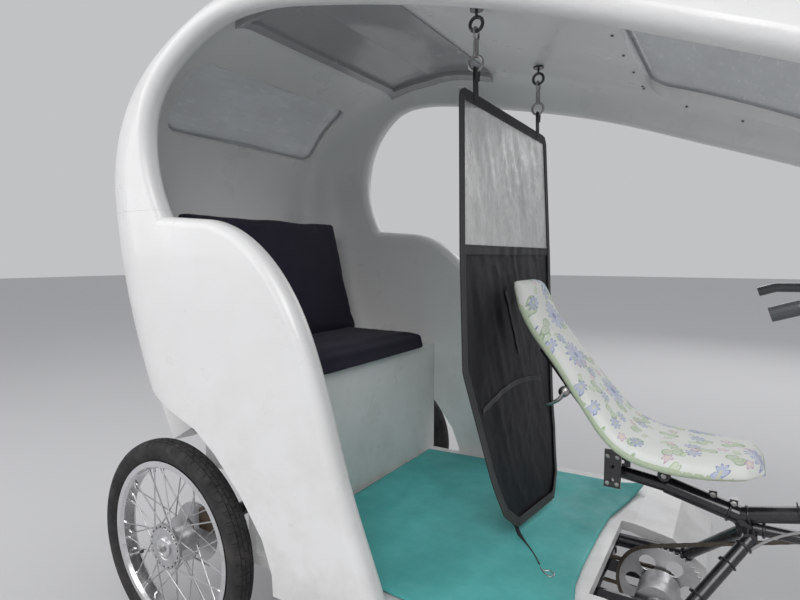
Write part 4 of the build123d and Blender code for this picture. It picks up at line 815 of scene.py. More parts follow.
def build_wheel_trim(row, alloy, chrome, steel, dark):
    """Spoke nipples and heads, painted shade of the flange holes as thin dark discs, flange rings, valve, and the
    hub's cap, nut and disc bolts.
    """
    name, body, ahead, left, up, _, _, out = row
    nipples, heads, hole_shade_discs = [], [], []
    middle = spot(ahead, 0, up)
    to_next = Matrix.Rotation(math.radians(10), 3, "Y")
    for hole, seat, side in spoke_ends(row):
        way = (hole - seat).normalized()
        nipples.append((seat - way * 0.001, seat + way * 0.012, 0.0030))
        face = spot(0, left + side * FLANGE_FACE, 0).y
        outer = Vector((hole.x, face, hole.z))
        heads.append((outer, outer + Vector((0, side * 0.0016, 0)), 0.0034))
        # painted shade: a thin dark disc on the flange face, turned 10 degrees from each spoke hole, stands for a
        # shaded flange hole
        beside = to_next @ (Vector((hole.x, 0, hole.z)) - middle)
        shade_centre = Vector((middle.x + beside.x, face, middle.z + beside.z))
        hole_shade_discs.append((shade_centre, shade_centre + Vector((0, side * 0.0004, 0)), 0.0028))
    pegs(name + "_nipples", nipples, body, chrome, sides=6)
    pegs(name + "_spoke_heads", heads, body, steel, sides=8, dome=0.35)
    # painted shade of the flange holes, in the same dark plastic as the valve cap
    pegs(name + "_flange_hole_shade", hole_shade_discs, body, dark, sides=8)
    turn = math.radians(VALVE_TURN)
    direction = Vector((math.cos(turn), 0, math.sin(turn)))
    centre = spot(ahead, left, up)
    stem = [centre + direction * reach for reach in (0.203, 0.190, 0.176, 0.166)]
    pipe(name + "_valve", stem, 0.0035, body, steel, sides=10)
    pipe(name + "_valve_cap", [stem[-1], stem[-1] - direction * 0.010], 0.0044, body, dark, sides=10)
    for side in (-1, 1):
        face = spot(ahead, left + side * FLANGE_FACE, up)
        ridge = [(0, 50), (side * 1.2, 49), (side * 1.2, 33), (0, 31.5)]
        turned("%s_flange_ring_%s" % (name, "ab"[side > 0]), face, ridge, body, alloy, steps=60)
    if not out:
        return
    centre = spot(ahead, left + out * 34.5, up)
    cap = [(out * along, r) for along, r in HUB_CAP]
    turned(name + "_hub_cap", centre, cap, body, chrome, steps=60)
    nut = [(centre, centre + Vector((0, out * 0.0065, 0)), 0.0105)]
    pegs(name + "_axle_nut", nut, body, steel, sides=6, dome=0.12)
    end = centre + Vector((0, out * 0.006, 0))
    stub = [(end, end + Vector((0, out * 0.005, 0)), 0.0050)]
    pegs(name + "_axle_end", stub, body, steel, sides=16, dome=0.2)
    bolts = []
    for index in range(6):
        turn = math.tau * index / 6 + 0.3
        inner = spot(ahead + 30 * math.cos(turn), left - out * 70, up + 30 * math.sin(turn))
        bolts.append((inner, inner - Vector((0, out * 0.003, 0)), 0.0042))
    pegs(name + "_disc_bolts", bolts, body, steel, sides=6)


# Drive
CRANK = (1740, 426)
GEAR = (1085, 212)
# circles that a chain runs round: ahead, up, radius, sense of the turn
FRONT_LOOP = [(*GEAR, 97, 1), (*CRANK, 91, 1)]
REAR_LOOP = [(0, 270, 90, 1), (*GEAR, 33, 1), (190, 260, 17, -1)]
FRONT_PLANE = 34.0
REAR_PLANE = 54.0
# name, loop, plane
CHAINS = [("front", FRONT_LOOP, FRONT_PLANE), ("rear", REAR_LOOP, REAR_PLANE)]
# name, body, ahead, up, radius of the sprocket's disc, plane, loop, material slot
SPROCKETS = [
    ("gear_teeth", "mid_drive", *GEAR, 92, FRONT_PLANE, FRONT_LOOP, "hub_alloy"),
    ("chainring_teeth", "crank", *CRANK, 86, FRONT_PLANE, FRONT_LOOP, "steel"),
    ("drive_teeth", "mid_drive", *GEAR, 28, REAR_PLANE, REAR_LOOP, "hub_alloy"),
    ("final_teeth", "chassis", 0, 270, 85, REAR_PLANE, REAR_LOOP, "black_paint"),
]
# from the sprocket's disc out to the chain's middle line
PIN_LINE = 5
# share of a tooth's pitch, height over the disc
TOOTH = ((0.0, 0.8), (0.2, 1.4), (0.38, 6.0), (0.5, 8.0), (0.62, 6.0), (0.8, 1.4))
TOOTH_HALF_WIDTH = 1.2
LINK_RADIUS = 3.9
LINK_THICKNESS = 0.9
INNER_LINK = 2.1
OUTER_LINK = 3.0
ROLLER_RADIUS = 2.6
ROLLER_HALF_WIDTH = 3.5
ROLLER_SIDES = 8


def loop_run(circles):
    """Middle line of a chain round its circles, in (ahead, up), with a point every few millimetres."""
    step = 4.0
    tangents = []
    for first, second in zip(circles, circles[1:] + circles[:1]):
        gap = Vector((second[0] - first[0], second[1] - first[1]))
        turn = math.atan2(gap.y, gap.x) + math.acos((second[2] * second[3] - first[2] * first[3]) / gap.length)
        normal = Vector((math.cos(turn), math.sin(turn)))
        tangents.append((
            Vector(first[:2]) - normal * first[2] * first[3],
            Vector(second[:2]) - normal * second[2] * second[3],
        ))
    run = []
    for index, (x, z, radius, sense) in enumerate(circles):
        middle = Vector((x, z))
        start, end = tangents[index - 1][1] - middle, tangents[index][0] - middle
        first = math.atan2(start.y, start.x)
        last = math.atan2(end.y, end.x)
        swing = (last - first) % math.tau if sense > 0 else -((first - last) % math.tau)
        count = max(2, round(abs(swing) * radius / step))
        for part in range(count + 1):
            turn = first + swing * part / count
            run.append(middle + Vector((math.cos(turn), math.sin(turn))) * radius)
    return run


def chain_pins(circles, pitch):
    """Middles of a chain's pins, in (ahead, up)."""
    return resampled(loop_run(circles), pitch * 1000)


def plate(start, end, y):
    """Rounded side plate between two pins: its vertices and faces."""
    way = (end - start).normalized()
    across = Vector((-way.y, way.x))
    outline = []
    for centre, sign in ((end, 1), (start, -1)):
        for step in range(5):
            turn = math.pi * (step / 4 - 0.5)
            outline.append(centre + (way * math.cos(turn) + across * math.sin(turn)) * LINK_RADIUS * sign)
    levels = (y - LINK_THICKNESS / 2, y + LINK_THICKNESS / 2)
    return [spot(point.x, level, point.y) for level in levels for point in outline], prism_faces(len(outline))


def prism_faces(corners):
    """Side faces and two ends between two equal outlines."""
    ends = [tuple(range(corners))[::-1], tuple(range(corners, 2 * corners))]
    return strip_faces(2, corners, False, True) + ends


def roller(pin, plane_y):
    """Roller on a pin: its vertices and faces."""
    verts = []
    for level in (plane_y - ROLLER_HALF_WIDTH, plane_y + ROLLER_HALF_WIDTH):
        for step in range(ROLLER_SIDES):
            turn = math.tau * step / ROLLER_SIDES
            verts.append(spot(pin.x + ROLLER_RADIUS * math.cos(turn), level, pin.y + ROLLER_RADIUS * math.sin(turn)))
    return verts, prism_faces(ROLLER_SIDES)


def build_chain(name, loop, plane_y, pitch, material):
    """Chain of narrow and wide links with a roller on each pin."""
    pins = chain_pins(loop, pitch)
    verts, faces = [], []
    for index, pin in enumerate(pins):
        after = pins[(index + 1) % len(pins)]
        stand_off = INNER_LINK if index % 2 else OUTER_LINK
        for part_verts, part_faces in (
            plate(pin, after, plane_y - stand_off), plate(pin, after, plane_y + stand_off), roller(pin, plane_y),
        ):
            faces += [tuple(len(verts) + corner for corner in face) for face in part_faces]
            verts += part_verts
    made = piece(name + "_chain_links", verts, faces, "chassis", material, False, (name + "_chain",))
    tidy_normals(made, weld=False)


def build_teeth(row, pitch, materials):
    """Toothed edge of a sprocket, its gaps where the chain's pins lie."""
    name, body, ahead, up, radius, plane_y, loop, slot = row
    count = round(math.tau * (radius + PIN_LINE) / (pitch * 1000))
    phases = [
        math.atan2(pin.y - up, pin.x - ahead) * count for pin in chain_pins(loop, pitch)
        if abs((pin - Vector((ahead, up))).length - radius - PIN_LINE) < 0.3
    ]
    phase = math.atan2(sum(map(math.sin, phases)), sum(map(math.cos, phases))) / count
    outline = []
    for tooth in range(count):
        for part, reach in TOOTH:
            outline.append((phase + math.tau * (tooth + part) / count, radius + reach))
    root = [(angle, radius - 4) for angle, _ in outline]
    verts = []
    for way, ring in ((-1, outline), (1, outline), (1, root), (-1, root)):
        left = plane_y + way * TOOTH_HALF_WIDTH
        verts += [spot(ahead + r * math.cos(a), left, up + r * math.sin(a)) for a, r in ring]
    faces = strip_faces(4, len(outline), True, True)
    made = piece(name, verts, faces, body, materials[slot], smooth=False)
    tidy_normals(made)


# Cables and ties on the frame
# radii in metres
CABLE_RADIUS = 0.0031
TIE_RADIUS = 0.0016
WELD_RADIUS = 0.0030
# middle line of the brake cable from the crank back along the frame
CABLE = [
    (1760, -10, 574), (1700, -12, 553), (1600, -16, 524), (1450, -20, 478), (1330, -26, 436),
    (1262, -46, 392), (1205, -95, 336), (1150, -146, 282), (1108, -150, 262),
]
# middle of a tie, a point further along the tube, radius of what it holds
TIES = [
    ((1660, 0, 555), (1700, 0, 564), 21.0), ((1470, 0, 506), (1510, 0, 515), 21.0),
    ((1345, 0, 473), (1385, 0, 483), 21.0), ((1222, -68, 361), (1180, -110, 312), 17.0),
    ((1172, -119, 301), (1150, -141, 273), 17.0),
]
# where a tube ends on another: middle, a point further along the tube, tube radius
WELDS = [
    ((1995, 0, 626), (1900, 0, 602), 17.5), ((1718, 0, 426), (1600, 0, 425), 13.0),
    ((1722, 0, 490), (1712, 0, 520), 13.0), ((1256, 0, 447), (1300, 0, 458), 17.5),
    ((1219, 0, 449), (1180, 0, 458), 20.0), ((1285, 0, 420), (1330, 0, 421), 13.0),
    ((1105, 0, 477), (1075, 0, 481), 15.0),
]
WELDS += [((1249, side * 42, 394), (1215, side * 76, 351), 14.0) for side in (-1, 1)]
WELDS += [((1132, side * 160, 248), (1150, side * 143, 269), 14.0) for side in (-1, 1)]
WELDS += [
    ((ahead, side * 152, 212), (ahead, side * 100, 212), 12.0) for ahead in (151, 560, 950) for side in (-1, 1)
]
# distance from the middle of a bolt's seat and of its top, radius, places as (ahead, up)
SIDE_BOLTS = [
    (70, 74, 0.0052, ((976, 484), (997, 484), (976, 548), (997, 548))),
    (102, 106, 0.0060, ((1097, 536),)),
    (102, 107, 0.0065, ((882, 694),)),
    (79, 85, 0.0110, (GEAR,)),
    (424, 420, 0.0052, ((46, 338), (82, 338))),
]


def ring_round(middle, ahead_point, radius, steps=28):
    """Points round a tube."""
    centre = spot(*middle)
    way = (spot(*ahead_point) - centre).normalized()
    across = way.orthogonal().normalized()
    up = way.cross(across)
    turns = [math.tau * step / steps for step in range(steps)]
    return [centre + (across * math.cos(turn) + up * math.sin(turn)) * radius / 1000 for turn in turns]


def build_frame_trim(black, steel, cable_grey, paint):
    """Brake cable with its ties, weld beads and bolts."""
    cable = curved([spot(*point) for point in CABLE], 6)
    pipe("brake_cable", cable, CABLE_RADIUS, "chassis", cable_grey, sides=8)
    for index, (middle, beside, radius) in enumerate(TIES):
        tie = ring_round(middle, beside, radius)
        pipe("cable_tie_%d" % index, tie, TIE_RADIUS, "chassis", black, 6, True)
        head = ring_round(middle, beside, radius + 2.0, 12)[3]
        way = (spot(*beside) - spot(*middle)).normalized()
        out = (head - spot(*middle)).normalized()
        box = [head - out * 0.002, head + out * 0.004]
        tape("cable_tie_head_%d" % index, box, way, 0.006, 0.005, "chassis", black)
    rng = random.Random(5)
    for index, (middle, beside, radius) in enumerate(WELDS):
        centre = spot(*middle)
        way = (spot(*beside) - centre).normalized()
        bead = []
        for point in ring_round(middle, beside, radius + 0.8, 40):
            shift = way * rng.uniform(-0.0006, 0.0006)
            bead.append(point + shift + (point - centre).normalized() * rng.uniform(-0.0004, 0.0008))
        pipe("weld_%d" % index, bead, WELD_RADIUS, "chassis", paint, 8, True)
    bolts = []
    for ahead, up in ((1188, 481), (1228, 470)):
        for side in (-1, 1):
            bolts.append((spot(ahead, side * 8, up), spot(ahead, side * 13, up), 0.0065))
    for side in (-1, 1):
        for inner, outer, radius, places in SIDE_BOLTS:
            for ahead, up in places:
                bolts.append((spot(ahead, side * inner, up), spot(ahead, side * outer, up), radius))
    pegs("frame_bolts", bolts, "chassis", steel, sides=6, dome=0.15)


def build_seat_clamp(steel, black):
    """Quick clamp at the knob under the seat's back."""
    lever = curved([spot(884, -108, 696), spot(872, -110, 676), spot(852, -106, 662), spot(836, -101, 656)], 6)
    pipe("seat_clamp_lever", lever, 0.0055, "chassis", steel, sides=10, squash=0.6)
    grip = [spot(882, -101, 694), spot(882, -112, 694)]
    pipe("seat_clamp_hub", grip, 0.0125, "chassis", steel, sides=20)
    for side in (-1, 1):
        centre = spot(1097, side * 90, 536)
        knob = [(0, 11.5), (side * 4, 13.5), (side * 11, 13.0), (side * 12, 9.0), (side * 12, 0.3), (0, 0.3)]
        turned("seat_knob_%s" % "rl"[side > 0], centre, knob, "chassis", black, steps=24)


# crank and pedals in millimetres
CRANK_ARM = 170
CHAINRING_BOLTS = 5
CHAINRING_BOLT_RADIUS = 64
STUD_ROWS = (-34, -6, 6, 34)
STUDS_A_ROW = 7
STUD_GAP = 12.5
STUD_START = 112
PEDAL_HALF_HEIGHT = 10


def build_crank_trim(steel, rubber):
    """Caps on the crank's axle, chainring bolts and pedal studs."""
    ahead, up = CRANK
    caps = [(spot(ahead, side * 98, up), spot(ahead, side * 101, up), 0.0110) for side in (-1, 1)]
    pegs("crank_caps", caps, "crank", steel, sides=16, dome=0.25)
    bolts = []
    for index in range(CHAINRING_BOLTS):
        turn = math.radians(360 / CHAINRING_BOLTS * index)
        x, z = ahead + CHAINRING_BOLT_RADIUS * math.cos(turn), up + CHAINRING_BOLT_RADIUS * math.sin(turn)
        bolts.append((spot(x, 32, z), spot(x, 28.5, z), 0.0055))
    pegs("chainring_bolts", bolts, "crank", steel, sides=10, dome=0.2)
    for body, side, middle in (("right_pedal", -1, ahead + CRANK_ARM), ("left_pedal", 1, ahead - CRANK_ARM)):
        studs = []
        for edge in STUD_ROWS:
            for step in range(STUDS_A_ROW):
                left = side * (STUD_START + step * STUD_GAP)
                for way in (-1, 1):
                    base = spot(middle + edge, left, up + way * PEDAL_HALF_HEIGHT)
                    studs.append((base, base + Vector((0, 0, way * 0.0032)), 0.0030))
        pegs(body + "_studs", studs, body, rubber, sides=4)


# Mat
MAT_BACK = 250
MAT_TOP = 283.4
MAT_HALF_WIDTH = 448
MAT_THICKNESS = 0.004
MAT_GRID = (74, 90)
# distance from the middle, how far ahead the mat's front edge lies there
MAT_FRONT = [(0, 934), (80, 934), (189, 938), (262, 954), (361, 973), (448, 993)]
# how far ahead, distance of the mat's side from the middle there
MAT_SIDE = [(250, 400), (620, 430), (900, 445), (993, 448)]


def between(rows, value):
    """Straight-line value from a short table."""
    for (a, b), (c, d) in zip(rows, rows[1:]):
        if value <= c:
            return b + (d - b) * max(0.0, (value - a) / (c - a))
    return rows[-1][1]


def build_mat(material):
    """Mat with soft waves, its two front corners lifted."""
    verts = []
    rows, columns = MAT_GRID
    for row in range(rows):
        for column in range(columns):
            across = 2 * column / (columns - 1) - 1
            front = between(MAT_FRONT, abs(across) * MAT_HALF_WIDTH)
            ahead = MAT_BACK + (front - MAT_BACK) * row / (rows - 1)
            left = across * between(MAT_SIDE, ahead)
            soft = noise.noise(Vector((ahead / 140, left / 140, 3.0))) + 0.4
            wave = max(0.0, soft) * 1.6
            far_corner = max(0.0, (left - 300) / 148) * max(0.0, (ahead - 880) / 113)
            near_corner = max(0.0, (-left - 380) / 68) * max(0.0, (ahead - 930) / 60)
            up = MAT_TOP + wave + far_corner ** 2 * 16 + near_corner ** 2 * 4
            verts.append(spot(ahead, left, up))
    faces = strip_faces(rows, columns)
    made = piece("cabin_mat", verts, faces, "chassis", material, stands_for=("floor_mat",))
    add_modifier(made, "SOLIDIFY", thickness=MAT_THICKNESS, offset=-1.0)


# Bench cushions
CUSHION_GRAIN = 0.0065
WRINKLE_DEPTH = 0.0012
PUFF_FRAMES = 20
# new piece, node, height of its flat underside in metres, seed of its wrinkles
CUSHIONS = [
    ("bench_seat_cushion", "seat_cushion", 0.690, 2.0),
    ("bench_back_cushion", "back_cushion", 0.742, 9.0),
]


def stuffed(name, node, material, puff, floor_z, seed):
    """Cushion blown up inside its cover, its underside kept flat."""
    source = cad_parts[node]
    mesh = source.data.copy()
    made = bpy.data.objects.new(name, mesh)
    bpy.context.scene.collection.objects.link(made)
    bpy.context.view_layer.objects.active = made
    mesh.materials.clear()
    mesh.materials.append(material)
    mesh.remesh_voxel_size = CUSHION_GRAIN
    with bpy.context.temp_override(active_object=made, object=made, selected_objects=[made]):
        bpy.ops.object.voxel_remesh()
    mesh = made.data
    rest = [vert.co.copy() for vert in mesh.vertices]
    normals = [vert.normal.copy() for vert in mesh.vertices]
    puffed = simulate_puff(made, rest, floor_z)
    for vert, normal, old, new in zip(mesh.vertices, normals, rest, puffed):
        moved = new - old
        cap = puff * (0.75 + 0.25 * noise.noise(old * 9.0 + Vector((seed, 0, 0))))
        reach = moved.length
        if reach > 1e-9:
            moved *= cap * math.tanh(reach / cap) / reach
        wrinkle = noise.noise(Vector((old.x * 26, old.y * 9, old.z * 26 + seed))) * WRINKLE_DEPTH
        vert.co = old + moved + normal * wrinkle
    for polygon in mesh.polygons:
        polygon.use_smooth = True
    add_modifier(made, "SUBSURF", levels=1, render_levels=1)
    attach(made, "chassis")
    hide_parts(node)


def simulate_puff(made, rest, floor_z):
    """Where cloth under air pressure has swollen to after some frames, its underside held."""
    scene = bpy.context.scene
    group = made.vertex_groups.new(name="held")
    held = [index for index, place in enumerate(rest) if place.z < floor_z]
    group.add(held, 1.0, "REPLACE")
    modifier = made.modifiers.new("puff", "CLOTH")
    modifier.settings.quality = 4
    modifier.settings.mass = 0.3
    modifier.settings.use_pressure = True
    modifier.settings.uniform_pressure_force = 4.0
    modifier.settings.vertex_group_mass = "held"
    modifier.settings.effector_weights.gravity = 0.0
    modifier.point_cache.frame_start = 1
    modifier.point_cache.frame_end = PUFF_FRAMES
    for step in range(1, PUFF_FRAMES + 1):
        scene.frame_set(step)
        made.evaluated_get(bpy.context.evaluated_depsgraph_get())
    shown = made.evaluated_get(bpy.context.evaluated_depsgraph_get())
    places = [vert.co.copy() for vert in shown.data.vertices]
    made.modifiers.remove(modifier)
    scene.frame_set(1)
    return places


# Driver's seat cover
# middle of the seat's top from the back's upper end to the front, as (ahead, up)
SEAT_CURVE = [
    (751, 947), (767, 899.5), (785, 852), (806, 825), (829, 800), (858, 766), (888, 726), (905, 699), (930, 674),
    (949, 649), (971, 621), (988, 600), (1012, 581), (1039, 571), (1070, 566), (1113, 562), (1157, 561), (1210, 565),
    (1259, 558), (1279, 571),
]
SEAT_GAP = 7.0
SEAT_LEAST_HALF_WIDTH = 30.0
SEAT_ROUNDING = 30.0
SEAT_CROWN = 31.0
SEAT_COLUMNS = 27
HEM_THICKNESS = 0.0012
# distance along a line that slants down from the back to the front, half the seat's width there
SEAT_OUTLINE = [
    (150, 0), (165, 40), (190, 72), (230, 88), (300, 90), (380, 92), (450, 106), (530, 125), (620, 132), (690, 130),
    (740, 118), (790, 92), (820, 50), (832, 0),
]


def seat_line():
    """Even, smoothed points along the seat with the direction up out of it."""
    points = [Vector(point) for point in SEAT_CURVE]
    for _ in range(2):
        inner = [b + ((a + c) / 2 - b) * 0.5 for a, b, c in zip(points, points[1:], points[2:])]
        points = points[:1] + inner + points[-1:]
    run = resampled(curved(points, 6), SEAT_GAP, closed=False)
    for _ in range(10):
        run = run[:1] + [(a + b * 2 + c) / 4 for a, b, c in zip(run, run[1:], run[2:])] + run[-1:]
    stations = []
    for index, point in enumerate(run):
        way = (run[min(index + 1, len(run) - 1)] - run[max(index - 1, 0)]).normalized()
        stations.append((point, Vector((-way.y, way.x))))
    return stations


def seat_half_width(point):
    """Half the seat's width at a place in (ahead, up)."""
    return max(SEAT_LEAST_HALF_WIDTH, between(SEAT_OUTLINE, 0.866 * point.x - 0.5 * point.y))


def build_seat_cover(cover, hem):
    """Printed cover stretched over the pad, and its gathered hem round the edge."""
    stations = seat_line()
    total = len(stations)
    shares = [(-1 + 2 * column / (SEAT_COLUMNS - 1)) for column in range(SEAT_COLUMNS)]
    verts = []
    for index, (point, up) in enumerate(stations):
        near_end = min(index, total - 1 - index) * SEAT_GAP
        rise = math.sqrt(max(0.0, 1 - max(0.0, 1 - near_end / SEAT_ROUNDING) ** 2))
        half = seat_half_width(point + up * 16)
        section = [(-half + 10, -12.0), (-half + 1.5, -11.0), (-half - 1.0, -4.0), (-half - 1.0, 6.0 * rise)]
        for part in shares:
            crown = 1 - abs(part) ** 5 * 0.5 - 0.05 * part ** 2
            dish = 1.5 * math.cos(part * math.pi) if index > total * 0.5 else 0.0
            section.append((part * (half - 1.5), (SEAT_CROWN * crown - dish) * rise))
        section += [(half + 1.0, 6.0 * rise), (half + 1.0, -4.0), (half - 1.5, -11.0), (half - 10, -12.0)]
        for across, above in section:
            place = point + up * above
            fold = noise.noise(Vector((place.x / 46, across / 22, place.y / 46))) * 1.7
            fine = noise.noise(Vector((place.x / 14, across / 9, place.y / 14))) * 0.5
            place = place + up * (fold + fine)
            verts.append(spot(place.x, across, place.y))
    faces = strip_faces(total, SEAT_COLUMNS + 8)
    made = piece("seat_cover", verts, faces, "chassis", cover, stands_for=("driver_seat_pad",))
    tidy_normals(made)
    add_modifier(made, "SUBSURF", levels=1, render_levels=1)
    ring = [(point, up, side) for side, run in ((-1, stations), (1, stations[::-1])) for point, up in run]
    verts = []
    for index, (point, up, side) in enumerate(ring):
        half = seat_half_width(point + up * 4)
        wave = math.sin(index * 2.2) * 1.1 + noise.noise(Vector((index * 0.8, side, 0.5))) * 1.2
        for across, above in (
            (half - 9, -13.5), (half + 0.5 + wave * 0.3, -12.5), (half + 2.6 + wave, -6.0),
            (half + 2.4 + wave * 0.4, -1.0), (half + 0.6, 2.0),
        ):
            place = point + up * above
            verts.append(spot(place.x, side * across, place.y))
    faces = strip_faces(len(ring), 5, True)
    hem_made = piece("seat_cover_hem", verts, faces, "chassis", hem)
    tidy_normals(hem_made)
    add_modifier(hem_made, "SOLIDIFY", thickness=HEM_THICKNESS, offset=-1.0)


# Curtain
CURTAIN_LEAN = math.radians(2.2)
CURTAIN_AHEAD = 697
CURTAIN_TOP = 1367
# height above the curtain's top, distance of the near and of the far edge from the middle
CURTAIN_UPPER = [(-607, 322), (-345, 320), (0, 302)]
CURTAIN_NEAR = [(-1060, 55), (-1000, 118), (-884, 185), (-717, 268)] + CURTAIN_UPPER
CURTAIN_FAR = [(-1060, 175), (-1000, 238), (-884, 288), (-717, 318)] + CURTAIN_UPPER
CURTAIN_TIP = -1060.0
CURTAIN_SWING = 48.0
CURTAIN_SEAM = -345.0
CURTAIN_COLUMNS = 72
WEBBING = 24.0
BORDER_INSET = 11
BORDER_CORNER = 16.0
BORDER_GAP = 14.0
HANGER_LEFT = 220
# how far stitches stand off a tape's middle, and their radius, in metres
STITCH_LIFT = 0.0011
STITCH_RADIUS = 0.0006
ACROSS = Vector((0, 1, 0))
UPWARD = Vector((0, 0, 1))


def hung(left, level, lift=0.0):
    """Point on the curtain's plane in millimetres: level is down from its top, lift towards the driver."""
    x = CURTAIN_AHEAD - math.sin(CURTAIN_LEAN) * level + math.cos(CURTAIN_LEAN) * lift
    return spot(x, left, CURTAIN_TOP + math.cos(CURTAIN_LEAN) * level + math.sin(CURTAIN_LEAN) * lift)


def lifted(left, level, lift):
    """Point over the curtain's folds."""
    return hung(left, level, curtain_folds(left, level) + lift)


def curtain_edge(left, level):
    """Distance of the edge on this side from the middle."""
    return between(CURTAIN_FAR if left > 0 else CURTAIN_NEAR, level)


def curtain_swing(left, level):
    """How far the loose far corner has swung towards the driver, more the lower it is."""
    down = min(1.0, max(0.0, (-620 - level) / 440))
    return CURTAIN_SWING * down * down * min(1.0, max(0.0, (left + 160) / 340))


def curtain_folds(left, level):
    """How far the cloth stands off its plane; the folds die out at the webbing."""
    half = curtain_edge(left, level)
    edge = min(1.0, max(0.0, (half - abs(left) - 20) / 60)) * min(1.0, max(0.0, -level / 60))
    sag = noise.noise(Vector((left / 120, level / 260, 1.0))) * 5.0
    fold = noise.noise(Vector((left / 34 + level / 90, level / 150, 4.0))) * 3.2
    crease = 1 - abs(noise.noise(Vector((left / 60 - level / 70, level / 55 + left / 130, 8.0)))) * 2.0
    return edge * (sag + fold + max(0.0, crease - 0.6) * 4.0 - 3.0) + 1.0 + curtain_swing(left, level)


def build_curtain_half(name, top, bottom, rows, material, node):
    """One of the curtain's two sheets, with its folds."""
    verts = []
    for row in range(rows):
        level = top + (bottom - top) * row / (rows - 1)
        for column in range(CURTAIN_COLUMNS):
            across = 2 * column / (CURTAIN_COLUMNS - 1) - 1
            left = across * (curtain_edge(across, level) - 1.0)
            verts.append(hung(left, level, curtain_folds(left, level)))
    faces = strip_faces(rows, CURTAIN_COLUMNS)
    made = piece(name, verts, faces, "chassis", material, stands_for=(node,))


def stitches(name, run, across, gap, material, rows):
    """Rows of short threads along a run of points: how far each row is across it and off it."""
    rods = []
    points = resampled(run, gap, closed=False)
    for a, b in zip(points, points[1:]):
        way = (b - a).normalized()
        side = across - way * across.dot(way)
        out = way.cross(side.normalized())
        for beside, off in rows:
            start = a.lerp(b, 0.15) + side * beside + out * off
            end = a.lerp(b, 0.75) + side * beside + out * off
            rods.append((start, end, STITCH_RADIUS))
    pegs(name, rods, "chassis", material, sides=4)


def build_curtain_border(webbing, thread):
    """Webbing sewn round the curtain's edge."""
    near = [Vector((-(edge - BORDER_INSET), level)) for level, edge in CURTAIN_NEAR]
    far = [Vector((edge - BORDER_INSET, level)) for level, edge in CURTAIN_FAR]
    for side in (near, far):
        side[0].y += BORDER_INSET
        side[-1].y -= BORDER_INSET
    outline = [tuple(point) for point in near + far[::-1]]
    flat = resampled(rounded_ring(outline, BORDER_CORNER, 6), BORDER_GAP)
    around = [hung(point.x, point.y, 3.4 + curtain_swing(point.x, point.y)) for point in flat]
    around.append(around[0])
    wide = []
    for index in range(len(around)):
        before = around[index - 1 if index else len(around) - 2]
        after = around[(index + 1) if index < len(around) - 1 else 1]
        wide.append((after - before).normalized().cross(Vector((1, 0, 0))).normalized())
    border_made = tape("curtain_border", around, wide, WEBBING / 1000, 0.0024, "chassis", webbing)
    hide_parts("curtain_webbing")
    rods = []
    lift = Vector((0.0018, 0, 0))
    for a, b, side in zip(around, around[1:], wide):
        for shift in (-0.0095, 0.0095):
            for start, end in ((0.05, 0.35), (0.55, 0.85)):
                rods.append((a.lerp(b, start) + side * shift + lift, a.lerp(b, end) + side * shift + lift, 0.00055))
    pegs("curtain_border_stitches", rods, "chassis", thread, sides=4)


def build_curtain(hazy, black, webbing, thread, steel):
    """Clear and dark sheet with webbing, hangers, seam, two welts and the tie at the tip."""
    seam_top, seam_bottom = CURTAIN_SEAM - 8, CURTAIN_SEAM + 6
    build_curtain_half(
        "curtain_clear_sheet", 0.0, seam_top, 50, hazy, "curtain_upper"
    )
    build_curtain_half(
        "curtain_dark_sheet", seam_bottom, CURTAIN_TIP, 90, black, "curtain_lower"
    )
    build_curtain_border(webbing, thread)
    for side, word in SIDES:
        left = side * HANGER_LEFT
        run = [hung(left, -22, 4.4), hung(left, 0, 4.6)]
        run += [
            spot(ahead, left, up) for ahead, up in
            ((700.6, 1400), (700.6, 1412), (701, 1421), (703, 1424), (705, 1420), (704, 1398))
        ]
        tape("curtain_hanger_" + word, curved(run, 3), ACROSS, 0.025, 0.0022, "chassis", webbing)
    seam = [lifted(left, CURTAIN_SEAM, 1.6) for left in range(-308, 309, 14)]
    slot = [lifted(-44 + 82 * k / 14, -446 - 171 * k / 14, 1.2) for k in range(15)]
    welt = [lifted(-215 + 430 * k / 24, -720 + 26 * math.sin(k / 24 * math.pi), 1.2) for k in range(25)]
    both_faces = [(beside, off) for off in (STITCH_LIFT, -STITCH_LIFT) for beside in (0.008, -0.008)]
    for name, run, across, width, thickness, gap, rows in (
        ("curtain_seam", seam, UPWARD, 0.022, 0.0016, 0.0065, both_faces),
        ("curtain_slot", slot, ACROSS, 0.013, 0.0014, 0.006, [(0.0075, 0.0), (-0.0075, 0.0)]),
        ("curtain_welt", welt, UPWARD, 0.014, 0.0015, 0.0065, [(0.004, STITCH_LIFT), (-0.004, STITCH_LIFT)]),
    ):
        tape(name, run, across, width, thickness, "chassis", webbing)
        stitches(name + "_stitches", run, across, gap, thread, rows)
    tie = [hung(-28, -1044, 6)] + [
        spot(*place) for place in ((752, -42, 300), (778, -70, 288), (815, -112, 284.6), (846, -156, 284.6))
    ]
    tape("curtain_tie", curved(tie, 8), Vector((0.2, 0.3, 1.0)), 0.012, 0.0020, "chassis", webbing)
    end = spot(852, -164, 286)
    hook = [end] + [
        end + Vector((x, y, 0.001)) for x, y in
        ((0.014, -0.018), (0.030, -0.026), (0.036, -0.014), (0.024, -0.004), (0.010, -0.008))
    ]
    pipe("curtain_tie_snap", curved(hook, 6), 0.0024, "chassis", steel, sides=8)


# Studio
FLOOR_REACH = 30.0
# name, place, size in metres, share of the key lamp's power
LAMPS = [
    ("key", (1.6, -4.2, 4.4), 3.2, 1.0),
    ("fill", (-3.4, -3.2, 2.6), 3.4, 0.45),
    ("back", (0.5, 4.4, 3.6), 3.4, 0.5),
]
LAMP_AIM = (0, 0, 0.8)
SENSOR_WIDTH = 36.0


